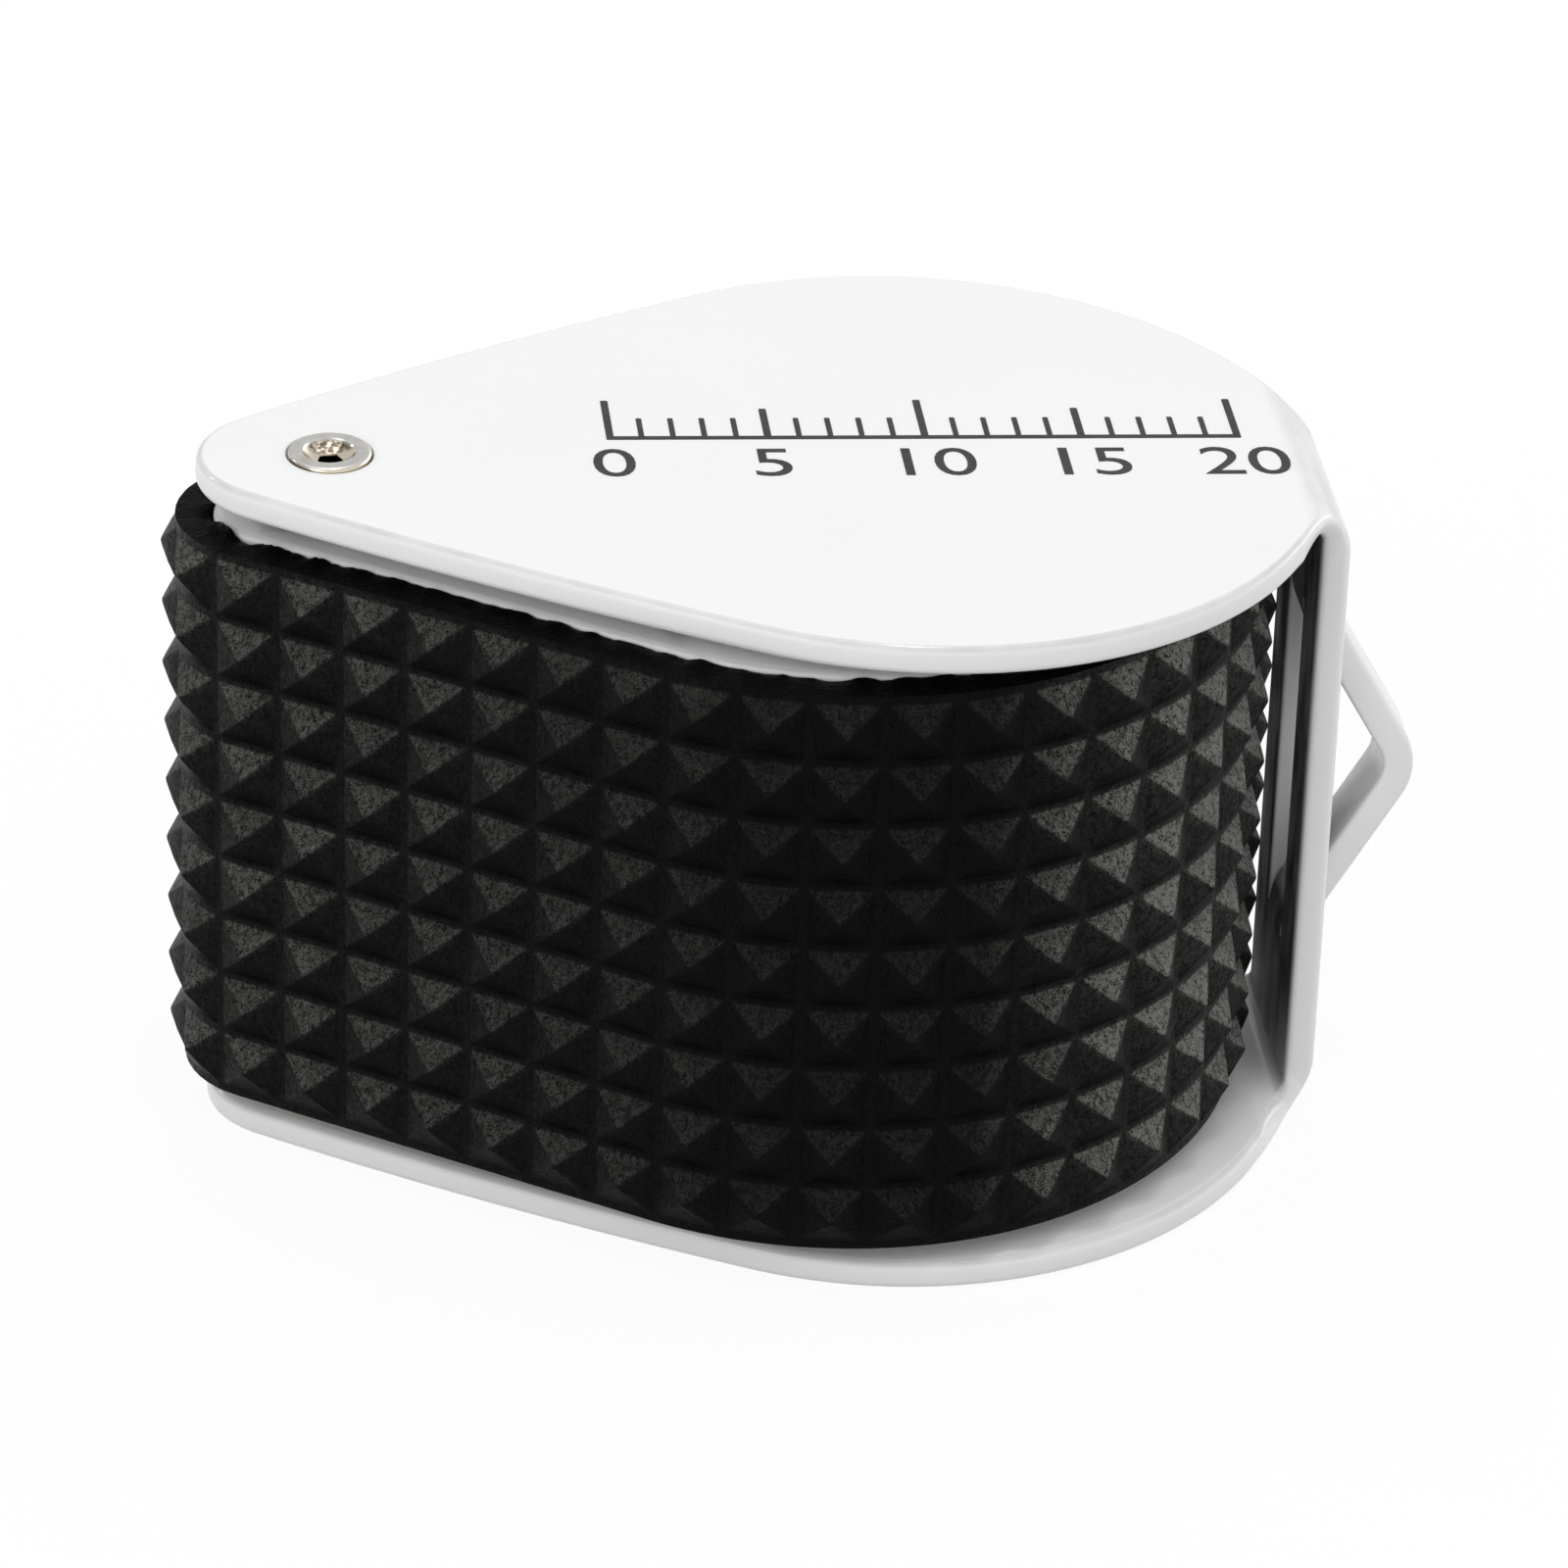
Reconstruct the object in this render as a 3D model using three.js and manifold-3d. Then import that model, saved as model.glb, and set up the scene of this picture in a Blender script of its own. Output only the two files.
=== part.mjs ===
// A folding jeweller's loupe, as a three.js scene graph.
// A cover of bent sheet metal holds a swinging body between its two cheeks. The body turns
// on a hollow rivet, wears a strip of studded rubber and carries a cemented triplet lens.
// Units are millimetres and Z is up. The origin is on the lens axis of the closed loupe,
// at the outer face of the lower cheek. The rivet lies towards -X and the web towards +X.

import * as THREE from 'three';
import { mergeVertices } from 'three/addons/utils/BufferGeometryUtils.js';
import Module from 'manifold-3d';

const wasm = await Module();
wasm.setup();

// Driving dimensions of the lens. Everything round grows outwards from the glass.
const lensRadius = 9.0;
const crownCurve = 16.0;
const flintCurve = 22.0;
const crownEdge = 2.1;
const flintCentre = 1.6;
const cementGap = 0.05;

// The barrel that holds the glass, its spacer tubes and its two retaining rings.
const lensFit = 0.1;
const barrelWall = 1.0;
const barrelFit = 0.1;
const spacerWall = 0.7;
const ringWall = 0.8;
const ringThickness = 1.0;
const ringInset = 0.3;
const ringNotchWidth = 1.4;
const ringNotchDepth = 0.5;
const seatGap = 0.05;

// The housing around the barrel.
const housingWall = 1.7;
const housingTipRadius = 2.2;
const housingTipBack = 1.45;
const lipThickness = 0.7;
const lipOverlap = 0.6;
const lipGap = 0.1;
const lensReach = 16.46;

// The rubber strip round the housing, with rows and columns of square pyramids.
const gripBase = 1.2;
const glueGap = 0.1;
const studHeight = 0.55;
const studRows = 9;
const rowPitch = 2.16;
const columnPitch = 2.27;
const columnShift = 0.27;
const studLand = 0.2;
const gripEdge = 0.16;
const gripSetback = 0.12;

// The pivot: a hollow rivet, the sleeve it runs in and a washer at each end.
const rivetRadius = 0.95;
const rivetBore = 0.5;
const flareRadius = 1.32;
const flareLip = 0.1;
const flareDepth = 0.5;
const funnelRadius = 1.02;
const funnelDepth = 0.9;
const headProud = 0.12;
const holeFit = 0.05;
const sleeveFit = 0.1;
const sleeveWall = 0.55;
const sleeveSeat = 0.1;
const washerRadius = 2.6;
const washerThickness = 0.5;
const waveThickness = 0.25;
const waveHeight = 0.18;
const runningGap = 0.1;

// The cover: two teardrop cheeks joined by a narrow web, all one piece of sheet.
// The upper cheek springs open a little, so the gap is widest at the rivet.
const sheet = 1.0;
const cheekInset = 0.1;
const cheekSideRadius = 143.0;
const cheekTipRadius = 3.2;
const cheekTipBack = 0.97;
const webReach = 0.56;
const webWidth = 7.0;
const bendOutside = 2.05;
const bendInside = 0.45;
const flareInset = 0.5;
const swingGap = 0.81;
const cheekGap = 0.17;
const cheekSplay = THREE.MathUtils.degToRad(1.29);

// The cord loop: a strip of the web, cut free on both sides and pushed outwards.
const loopLength = 12.5;
const loopRise = 0.35;
const loopWidth = 2.4;
const loopSideGap = 0.05;
const loopRoot = 0.3;
const loopBend = 2.2;
const loopSlope = THREE.MathUtils.degToRad(28);

// Counts of facets, waves and folds, and how far a cutting tool runs past the metal.
const roundSegments = 64;
const lensSegments = 48;
const lensSteps = 6;
const outlineSegments = 24;
const bendSegments = 4;
const washerWaves = 3;
const funnelFolds = 5;
const funnelFoldShare = 0.14;
const overrun = 1.0;

// Radii from the glass outwards.
const barrelBore = lensRadius + lensFit;
const barrelRadius = barrelBore + barrelWall;
const housingBore = barrelRadius + barrelFit;
const housingRadius = housingBore + housingWall;
const gripRadius = housingRadius + gripBase;
const gripTipRadius = housingTipRadius + gripBase;
const cheekRadius = gripRadius - cheekInset;
const sleeveBore = rivetRadius + sleeveFit;
const sleeveRadius = sleeveBore + sleeveWall;
const washerBore = rivetRadius + holeFit;
const pivotBore = sleeveRadius + sleeveFit;

// Places along X, from the lens axis.
const rivetX = -lensReach;
const housingTipX = rivetX - housingTipBack;
const cheekTipX = rivetX - cheekTipBack;
const webInnerX = gripRadius + studHeight + swingGap;
const webOuterX = webInnerX + sheet;
const cheekRoundX = webOuterX - webReach - cheekRadius;

// Heights, from the grip outwards.
const gripHeight = studRows * rowPitch + 2 * gripEdge;
const housingHeight = gripHeight + 2 * gripSetback;
const housingBottom = sheet + washerThickness + runningGap;
const housingTop = housingBottom + housingHeight;
const bodyMiddle = housingBottom + housingHeight / 2;
const coverHeight = housingTop + cheekGap + sheet;
const coverMiddle = coverHeight / 2;
const loopMiddle = coverMiddle + loopRise;
const bendX = webOuterX - bendOutside;
const upperBendZ = coverHeight - bendOutside;
const rivetTop = coverHeight + liftAt(rivetX);
const gripBottom = housingBottom + gripSetback;
const barrelHalf = housingHeight / 2 - lipThickness - lipGap;

// Paints, metals, rubber and glass, with colours read off the photograph.
const whitePaint = new THREE.MeshStandardMaterial({ color: 0xf1f1ef, roughness: 0.28, metalness: 0 });
const blackRubber = new THREE.MeshStandardMaterial({ color: 0x1d1d1b, roughness: 0.75, metalness: 0 });
const nickel = new THREE.MeshStandardMaterial({ color: 0xcfc9bf, roughness: 0.22, metalness: 1 });
const brass = new THREE.MeshStandardMaterial({ color: 0xb8924a, roughness: 0.35, metalness: 1 });
const springSteel = new THREE.MeshStandardMaterial({ color: 0x9a9ca0, roughness: 0.3, metalness: 1 });
const blackAnodised = new THREE.MeshStandardMaterial({ color: 0x151517, roughness: 0.45, metalness: 0.6 });
const glass = new THREE.MeshStandardMaterial({ color: 0xdce8e6, roughness: 0.03, metalness: 0 });

const loupe = new THREE.Group();

// How far the upper cheek has risen at a place along X, from its bend towards the rivet.
function liftAt(x) {
  return (bendX - x) * Math.tan(cheekSplay);
}

function place(name, geometry, material) {
  const mesh = new THREE.Mesh(geometry, material);
  mesh.name = name;
  loupe.add(mesh);
}

// Welds a geometry into one closed surface, drops its empty triangles and turns its faces out.
function weld(geometry) {
  const bare = geometry.clone();
  bare.deleteAttribute('normal');
  bare.deleteAttribute('uv');
  const merged = mergeVertices(bare);
  const places = merged.getAttribute('position');
  const a = new THREE.Vector3();
  const b = new THREE.Vector3();
  const c = new THREE.Vector3();
  const kept = [];
  let volume = 0;
  for (let i = 0; i < merged.index.count; i += 3) {
    const corners = [0, 1, 2].map((step) => merged.index.getX(i + step));
    if (new Set(corners).size < 3) continue;
    a.fromBufferAttribute(places, corners[0]);
    b.fromBufferAttribute(places, corners[1]);
    c.fromBufferAttribute(places, corners[2]);
    volume += a.dot(b.cross(c));
    kept.push(corners);
  }
  if (volume < 0) kept.forEach((corners) => corners.reverse());
  merged.setIndex(kept.flat());
  return merged;
}

function solid(geometry) {
  const closed = weld(geometry);
  return new wasm.Manifold(new wasm.Mesh({
    numProp: 3,
    vertProperties: new Float32Array(closed.getAttribute('position').array),
    triVerts: new Uint32Array(closed.index.array),
  }));
}

function surface(body) {
  const mesh = body.getMesh();
  const geometry = new THREE.BufferGeometry();
  geometry.setAttribute('position', new THREE.BufferAttribute(mesh.vertProperties, 3));
  geometry.setIndex(new THREE.BufferAttribute(mesh.triVerts, 1));
  return geometry;
}

// A flat outline raised from one height to another.
function raise(shape, bottom, top, segments = outlineSegments) {
  const settings = { depth: top - bottom, bevelEnabled: false, curveSegments: segments };
  return new THREE.ExtrudeGeometry(shape, settings).translate(0, 0, bottom);
}

// A side outline drawn in X and Z, made as wide as asked for, centred on the XZ plane.
function widen(shape, width) {
  const settings = { depth: width, bevelEnabled: false, curveSegments: bendSegments };
  return new THREE.ExtrudeGeometry(shape, settings).rotateX(Math.PI / 2).translate(0, width / 2, 0);
}

// A profile of [radius, height] points turned about a vertical axis.
function turn(profile, segments = roundSegments) {
  const points = profile.map(([radius, height]) => new THREE.Vector2(radius, height));
  return new THREE.LatheGeometry(points, segments).rotateX(Math.PI / 2);
}

function tube(bore, radius, bottom, top, segments = roundSegments) {
  return turn([[bore, bottom], [radius, bottom], [radius, top], [bore, top], [bore, bottom]], segments);
}

function plug(radius, bottom, top, segments = roundSegments) {
  return turn([[0, bottom], [radius, bottom], [radius, top], [0, top]], segments);
}

function block(left, right, width, bottom, top) {
  const geometry = new THREE.BoxGeometry(right - left, width, top - bottom);
  return geometry.translate((left + right) / 2, 0, (bottom + top) / 2);
}

// The outline of a teardrop: a round end, a small round tip, and straight or bowed sides.
function teardrop(tipX, tipRadius, roundX, roundRadius, sideRadius = 0) {
  const span = roundX - tipX;
  const shape = new THREE.Shape();
  if (sideRadius === 0) {
    const lean = Math.acos((tipRadius - roundRadius) / span);
    shape.absarc(roundX, 0, roundRadius, -lean, lean, false);
    shape.absarc(tipX, 0, tipRadius, lean, 2 * Math.PI - lean, false);
    shape.closePath();
    return shape;
  }
  const toTip = sideRadius - tipRadius;
  const toRound = sideRadius - roundRadius;
  const along = (toTip ** 2 - toRound ** 2 + span ** 2) / (2 * span);
  const across = Math.sqrt(toTip ** 2 - along ** 2);
  const tipAngle = Math.atan2(across, -along);
  const roundAngle = Math.atan2(across, span - along);
  shape.absarc(roundX, 0, roundRadius, -roundAngle, roundAngle, false);
  shape.absarc(tipX + along, -across, sideRadius, roundAngle, tipAngle, false);
  shape.absarc(tipX, 0, tipRadius, tipAngle, 2 * Math.PI - tipAngle, false);
  shape.absarc(tipX + along, across, sideRadius, -tipAngle, -roundAngle, false);
  return shape;
}

// The U that the sheet is bent to, drawn in X and Z. The bends are tight on the inside.
function coverProfile() {
  const left = cheekTipX - cheekTipRadius - overrun;
  const upperTurn = Math.PI / 2 - cheekSplay;
  const insideX = webInnerX - bendInside;
  const insideZ = upperBendZ + (bendOutside - sheet - bendInside) * Math.tan(upperTurn / 2);
  const tipTop = coverHeight + liftAt(left);
  const shape = new THREE.Shape();
  shape.moveTo(left, 0);
  shape.lineTo(bendX, 0);
  shape.absarc(bendX, bendOutside, bendOutside, -Math.PI / 2, 0, false);
  shape.lineTo(webOuterX, upperBendZ);
  shape.absarc(bendX, upperBendZ, bendOutside, 0, upperTurn, false);
  shape.lineTo(left, tipTop);
  shape.lineTo(left, tipTop - sheet);
  shape.absarc(insideX, insideZ, bendInside, upperTurn, 0, true);
  shape.lineTo(webInnerX, sheet + bendInside);
  shape.absarc(insideX, sheet + bendInside, bendInside, 0, -Math.PI / 2, true);
  shape.lineTo(left, sheet);
  shape.closePath();
  return shape;
}

// The pushed-out strip, drawn in X and Z. Both ends run back into the web.
function loopProfile() {
  const bottom = loopMiddle - loopLength / 2;
  const top = loopMiddle + loopLength / 2;
  const peakX = webOuterX + Math.tan(loopSlope) * loopLength / 2;
  const turnX = peakX - loopBend / Math.cos(loopSlope);
  const innerBend = loopBend - sheet * Math.cos(loopSlope);
  const shape = new THREE.Shape();
  shape.moveTo(webInnerX, bottom - loopRoot);
  shape.lineTo(webOuterX, bottom - loopRoot);
  shape.lineTo(webOuterX, bottom);
  shape.absarc(turnX, loopMiddle, loopBend, -loopSlope, loopSlope, false);
  shape.lineTo(webOuterX, top);
  shape.lineTo(webOuterX, top + loopRoot);
  shape.lineTo(webInnerX, top + loopRoot);
  shape.lineTo(webInnerX, top);
  shape.absarc(turnX, loopMiddle, innerBend, loopSlope, -loopSlope, true);
  shape.lineTo(webInnerX, bottom);
  shape.closePath();
  return shape;
}

// The hole in each cheek, with a sunk cone on its outer side for the rivet's flare.
function rivetHole() {
  const hole = rivetRadius + holeFit;
  const rim = flareRadius + holeFit;
  const sinkBottom = rivetTop - flareDepth;
  const profile = [
    [0, -overrun],
    [rim, -overrun],
    [rim, flareLip],
    [hole, flareDepth + holeFit],
    [hole, sinkBottom - holeFit],
    [rim, rivetTop - flareLip],
    [rim, rivetTop + overrun],
    [0, rivetTop + overrun],
  ];
  return turn(profile, lensSegments).translate(rivetX, 0, 0);
}

// In both bends the sheet is wider than the web: straight edges run from the web to the cheek's round.
function flare() {
  const flareX = webOuterX - flareInset;
  const far = Math.hypot(flareX - cheekRoundX, webWidth / 2);
  const angle = Math.atan2(webWidth / 2, flareX - cheekRoundX) + Math.acos(cheekRadius / far);
  const meetX = cheekRoundX + cheekRadius * Math.cos(angle);
  const meetY = cheekRadius * Math.sin(angle);
  const shape = new THREE.Shape();
  shape.moveTo(cheekRoundX, -meetY);
  shape.lineTo(meetX, -meetY);
  shape.lineTo(flareX, -webWidth / 2);
  shape.lineTo(flareX, webWidth / 2);
  shape.lineTo(meetX, meetY);
  shape.lineTo(cheekRoundX, meetY);
  shape.closePath();
  const reach = sheet + bendInside;
  const lower = solid(raise(shape, -overrun, reach));
  return lower.add(solid(raise(shape, coverHeight - reach, rivetTop + overrun)));
}

function cover() {
  const bent = solid(widen(coverProfile(), 2 * cheekRadius + overrun));
  const plan = teardrop(cheekTipX, cheekTipRadius, cheekRoundX, cheekRadius, cheekSideRadius);
  const cheeks = solid(raise(plan, -overrun, rivetTop + overrun));
  const neck = solid(block(cheekRoundX, webOuterX + overrun, webWidth, -overrun, rivetTop + overrun));
  const slotBottom = loopMiddle - loopLength / 2;
  const slot = solid(block(webInnerX - overrun, webOuterX + overrun, loopWidth,
    slotBottom, slotBottom + loopLength));
  const strip = solid(widen(loopProfile(), loopWidth - 2 * loopSideGap));
  return surface(cheeks.add(neck).add(flare()).intersect(bent).subtract(solid(rivetHole())).subtract(slot).add(strip));
}

// A tubular rivet. Both ends are spread over a punch, which leaves folds in the funnel.
function pivotRivet() {
  const lowerFunnel = [[rivetBore, funnelDepth], [funnelRadius, 0]];
  const upperRim = rivetTop + headProud;
  const upperFunnel = [[funnelRadius, upperRim], [rivetBore, upperRim - funnelDepth - headProud]];
  const profile = [
    ...lowerFunnel,
    [flareRadius, 0],
    [flareRadius, flareLip],
    [rivetRadius, flareDepth],
    [rivetRadius, rivetTop - flareDepth],
    [flareRadius, rivetTop - flareLip],
    [flareRadius, rivetTop],
    [flareRadius - headProud, upperRim],
    ...upperFunnel,
    [rivetBore, funnelDepth],
  ];
  const geometry = turn(profile, lensSegments);
  const places = geometry.getAttribute('position');
  for (let i = 0; i < places.count; i += 1) {
    const x = places.getX(i);
    const y = places.getY(i);
    const folds = 1 + funnelFoldShare * Math.cos(funnelFolds * Math.atan2(y, x));
    if (Math.hypot(x, y) < (rivetRadius + rivetBore) / 2) places.setXY(i, x * folds, y * folds);
  }
  return geometry.translate(rivetX, 0, 0);
}

function lowerWasher() {
  return tube(washerBore, washerRadius, sheet, sheet + washerThickness, lensSegments).translate(rivetX, 0, 0);
}

// A spring washer, bent into waves, in the wider gap under the upper cheek.
function waveWasher() {
  const centre = (housingTop + rivetTop - sheet) / 2;
  const bottom = centre - waveThickness / 2;
  const geometry = tube(washerBore, washerRadius, bottom, bottom + waveThickness, lensSegments);
  const places = geometry.getAttribute('position');
  for (let i = 0; i < places.count; i += 1) {
    const angle = Math.atan2(places.getY(i), places.getX(i));
    places.setZ(i, places.getZ(i) + waveHeight * Math.cos(washerWaves * angle));
  }
  return geometry.translate(rivetX, 0, 0);
}

function pivotSleeve() {
  const bottom = sheet + washerThickness + sleeveSeat / 2;
  const top = housingTop - sleeveSeat / 2;
  return tube(sleeveBore, sleeveRadius, bottom, top, lensSegments).translate(rivetX, 0, 0);
}

// The housing's outline, let out by the same distance all round.
function housingOutline(extra) {
  return teardrop(housingTipX, housingTipRadius + extra, 0, housingRadius + extra);
}

// A block with a bore for the barrel, a lip under the barrel and a bore for the sleeve.
function housing() {
  const lipTop = housingBottom + lipThickness;
  const block = solid(raise(housingOutline(0), housingBottom, housingTop));
  const bore = solid(plug(housingBore, lipTop, housingTop + overrun));
  const mouth = solid(plug(barrelRadius - lipOverlap, housingBottom - overrun, lipTop + overrun));
  const pivot = plug(pivotBore, housingBottom - overrun, housingTop + overrun, lensSegments);
  return surface(block.subtract(bore).subtract(mouth).subtract(solid(pivot.translate(rivetX, 0, 0))));
}

// The outside of the grip: flat lands in a grid, with a pyramid standing in each square.
function gripSkin() {
  const outline = teardrop(housingTipX, gripTipRadius, 0, gripRadius);
  const girth = outline.getLength();
  const columns = Math.round(girth / columnPitch);
  const pitch = girth / columns;
  const heights = [gripBottom];
  for (let row = 0; row < studRows; row += 1) {
    const rowBottom = gripBottom + gripEdge + row * rowPitch;
    heights.push(rowBottom + studLand / 2, rowBottom + rowPitch - studLand / 2);
  }
  heights.push(gripBottom + gripHeight);

  const places = [];
  const faces = [];
  function pointAt(distance, height, lift) {
    const share = ((distance + columnShift) / girth + 1) % 1;
    const point = outline.getPoint(share);
    const tangent = outline.getTangent(share);
    places.push(point.x + lift * tangent.y, point.y - lift * tangent.x, height);
    return places.length / 3 - 1;
  }
  const rings = heights.map((height) => {
    const ring = [];
    for (let column = 0; column < columns; column += 1) {
      ring.push(pointAt(column * pitch + studLand / 2, height, 0));
      ring.push(pointAt((column + 1) * pitch - studLand / 2, height, 0));
    }
    return ring;
  });
  for (let level = 0; level + 1 < rings.length; level += 1) {
    for (let i = 0; i < 2 * columns; i += 1) {
      const next = (i + 1) % (2 * columns);
      const corners = [rings[level][i], rings[level][next], rings[level + 1][next], rings[level + 1][i]];
      const isStud = level % 2 === 1 && i % 2 === 0;
      if (isStud) {
        const centre = (heights[level] + heights[level + 1]) / 2;
        const peak = pointAt((i / 2 + 0.5) * pitch, centre, studHeight);
        corners.forEach((corner, side) => faces.push(corner, corners[(side + 1) % 4], peak));
      } else {
        faces.push(corners[0], corners[1], corners[2], corners[0], corners[2], corners[3]);
      }
    }
  }
  places.push(0, 0, gripBottom, 0, 0, gripBottom + gripHeight);
  const topCentre = places.length / 3 - 1;
  const bottomRing = rings[0];
  const topRing = rings[rings.length - 1];
  for (let i = 0; i < 2 * columns; i += 1) {
    const next = (i + 1) % (2 * columns);
    faces.push(topCentre - 1, bottomRing[next], bottomRing[i]);
    faces.push(topCentre, topRing[i], topRing[next]);
  }
  const geometry = new THREE.BufferGeometry();
  geometry.setAttribute('position', new THREE.Float32BufferAttribute(places, 3));
  geometry.setIndex(faces);
  return geometry;
}

function rubberGrip() {
  const inside = raise(housingOutline(glueGap), gripBottom - overrun, gripBottom + gripHeight + overrun);
  return surface(solid(gripSkin()).subtract(solid(inside)));
}

function lensBarrel() {
  return tube(barrelBore, barrelRadius, bodyMiddle - barrelHalf, bodyMiddle + barrelHalf);
}

// How far a curved face falls from its centre at a given radius.
function fall(curve, radius) {
  return curve - Math.sqrt(curve ** 2 - radius ** 2);
}

// Points along one curved face, from the axis to the rim. The centre stands at a height.
function curvedFace(curve, centre) {
  const points = [];
  for (let step = 0; step <= lensSteps; step += 1) {
    const radius = lensRadius * step / lensSteps;
    points.push([radius, centre - fall(curve, radius)]);
  }
  return points;
}

// Heights above the middle of the lens.
const crownCentre = crownEdge / 2 + fall(crownCurve, lensRadius);
const flintBack = crownCentre + cementGap;
const flintFront = flintBack + flintCentre;
const spacerBore = lensRadius - spacerWall;
const spacerFoot = flintFront - fall(flintCurve, spacerBore) + seatGap;
const ringTop = barrelHalf - ringInset;
const ringBottom = ringTop - ringThickness;

function crownLens() {
  const upper = curvedFace(crownCurve, crownCentre);
  const lower = upper.map(([radius, height]) => [radius, -height]);
  return turn([...upper, ...lower.reverse()], lensSegments);
}

function flintLens() {
  const front = curvedFace(flintCurve, flintFront);
  const back = curvedFace(crownCurve, flintBack);
  return turn([...front, ...back.reverse()], lensSegments);
}

function spacerTube() {
  return tube(spacerBore, lensRadius, spacerFoot, ringBottom - seatGap);
}

// A thin ring with two notches across its outer face, for a pin spanner.
function retainingRing() {
  const ring = solid(tube(lensRadius - ringWall, lensRadius, ringBottom, ringTop));
  const reach = lensRadius + overrun;
  const notch = block(-reach, reach, ringNotchWidth, ringTop - ringNotchDepth, ringTop + overrun);
  return surface(ring.subtract(solid(notch)));
}

// The stack above the middle of the lens is turned over to make the one below it.
function upper(geometry) {
  return geometry.translate(0, 0, bodyMiddle);
}

function lower(geometry) {
  return geometry.rotateX(Math.PI).translate(0, 0, bodyMiddle);
}

place('cover', cover(), whitePaint);
place('pivot_rivet', weld(pivotRivet()), nickel);
place('lower_washer', weld(lowerWasher()), brass);
place('wave_washer', weld(waveWasher()), springSteel);
place('loupe_housing', housing(), whitePaint);
place('rubber_grip', rubberGrip(), blackRubber);
place('pivot_sleeve', weld(pivotSleeve()), brass);
place('lens_barrel', weld(lensBarrel()), blackAnodised);
place('crown_lens', weld(upper(crownLens())), glass);
place('upper_flint_lens', weld(upper(flintLens())), glass);
place('lower_flint_lens', weld(lower(flintLens())), glass);
place('upper_spacer_tube', weld(upper(spacerTube())), blackAnodised);
place('lower_spacer_tube', weld(lower(spacerTube())), blackAnodised);
place('upper_retaining_ring', weld(upper(retainingRing())), blackAnodised);
place('lower_retaining_ring', weld(lower(retainingRing())), blackAnodised);

export default loupe;
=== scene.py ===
# %% [markdown]
# # Dressing a folding loupe
# A jeweller's folding loupe is a thick triplet lens in a rubber-clad body, which swings on
# a hollow rivet out of a cover bent from one strip of white painted sheet.
# The engineering model is already packed with its joint, so this lesson only dresses it.
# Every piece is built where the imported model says, rides on one of its two bodies, and
# stands for one of its solids. That way the finished loupe still folds as the real one does.

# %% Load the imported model
import math
import random

import bmesh
import bpy
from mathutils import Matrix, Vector, noise


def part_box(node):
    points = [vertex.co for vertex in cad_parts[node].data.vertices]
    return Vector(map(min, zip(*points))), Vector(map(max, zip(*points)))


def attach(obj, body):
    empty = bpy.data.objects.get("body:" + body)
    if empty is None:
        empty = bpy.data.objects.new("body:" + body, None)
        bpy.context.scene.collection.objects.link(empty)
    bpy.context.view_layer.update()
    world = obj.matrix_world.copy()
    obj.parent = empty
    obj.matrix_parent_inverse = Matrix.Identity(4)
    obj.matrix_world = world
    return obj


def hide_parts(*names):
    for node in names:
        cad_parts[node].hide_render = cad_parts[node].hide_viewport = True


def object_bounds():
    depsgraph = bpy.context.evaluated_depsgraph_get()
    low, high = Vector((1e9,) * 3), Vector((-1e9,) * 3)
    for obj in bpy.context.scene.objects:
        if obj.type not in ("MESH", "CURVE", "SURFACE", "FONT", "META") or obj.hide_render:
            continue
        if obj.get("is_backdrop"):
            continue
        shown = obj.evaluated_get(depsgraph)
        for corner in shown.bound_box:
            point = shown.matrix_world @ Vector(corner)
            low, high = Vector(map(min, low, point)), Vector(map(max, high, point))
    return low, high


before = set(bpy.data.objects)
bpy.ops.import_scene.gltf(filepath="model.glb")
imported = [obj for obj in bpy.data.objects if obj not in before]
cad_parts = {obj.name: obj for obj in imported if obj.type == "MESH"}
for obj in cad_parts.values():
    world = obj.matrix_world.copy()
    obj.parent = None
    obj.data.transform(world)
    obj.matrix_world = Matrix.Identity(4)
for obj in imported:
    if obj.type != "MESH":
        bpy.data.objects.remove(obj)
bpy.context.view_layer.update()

# %% [markdown]
# ## The units and the shared sizes
# Blender works in metres here, but a loupe is drawn in millimetres, so every size below is
# in millimetres and is turned into metres only when a mesh is made.
# These sizes are the ones that several pieces share, and they repeat those of the solids.
# One could read them off the imported boxes instead. Written out, they can be set beside
# the boxes, and the next cell prints the housing's box beside its drawn heights.

# %% Units and shared sizes
MM = 0.001

cover_height = 22.77
sheet_thick = 1.0
rivet_x = -16.46
web_outer_x = 15.46
housing_low, housing_high = 1.6, 21.6
body_middle = (housing_low + housing_high) / 2
housing_radius = 11.9
housing_tip_x, housing_tip_radius = -17.91, 2.2
splay = math.radians(1.29)
bend_outside, bend_inside = 2.05, 0.45
bend_x = web_outer_x - bend_outside


def rise(x):
    """How far the upper cheek has sprung open at a place along X."""
    return (bend_x - x) * math.tan(splay)


rivet_top = cover_height + rise(rivet_x)
housing_box = [[round(v / MM, 2) for v in corner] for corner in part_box("loupe_housing")]
print("housing box", housing_box, "drawn from", housing_low, "to", housing_high)
print("height of the cheek over the rivet", round(rivet_top, 3))

# %% [markdown]
# ## The camera
# The picture was taken with a long lens from about 23 cm away, from the front and half
# above. Its place was found by matching the outlines of both cheeks, the web and the
# rubber's rows, so the numbers are odd ones. A long lens keeps the two cheeks almost
# parallel in the picture. No lens shift is used, so any other view stays centred too.

# %% Camera
camera_place = Vector((-24.728, -195.381, 123.038)) * MM
camera_turn = [math.radians(a) for a in (60.3452, -1.4499, -5.842)]
loupe_middle = Vector((0, 0, body_middle * MM))

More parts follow.
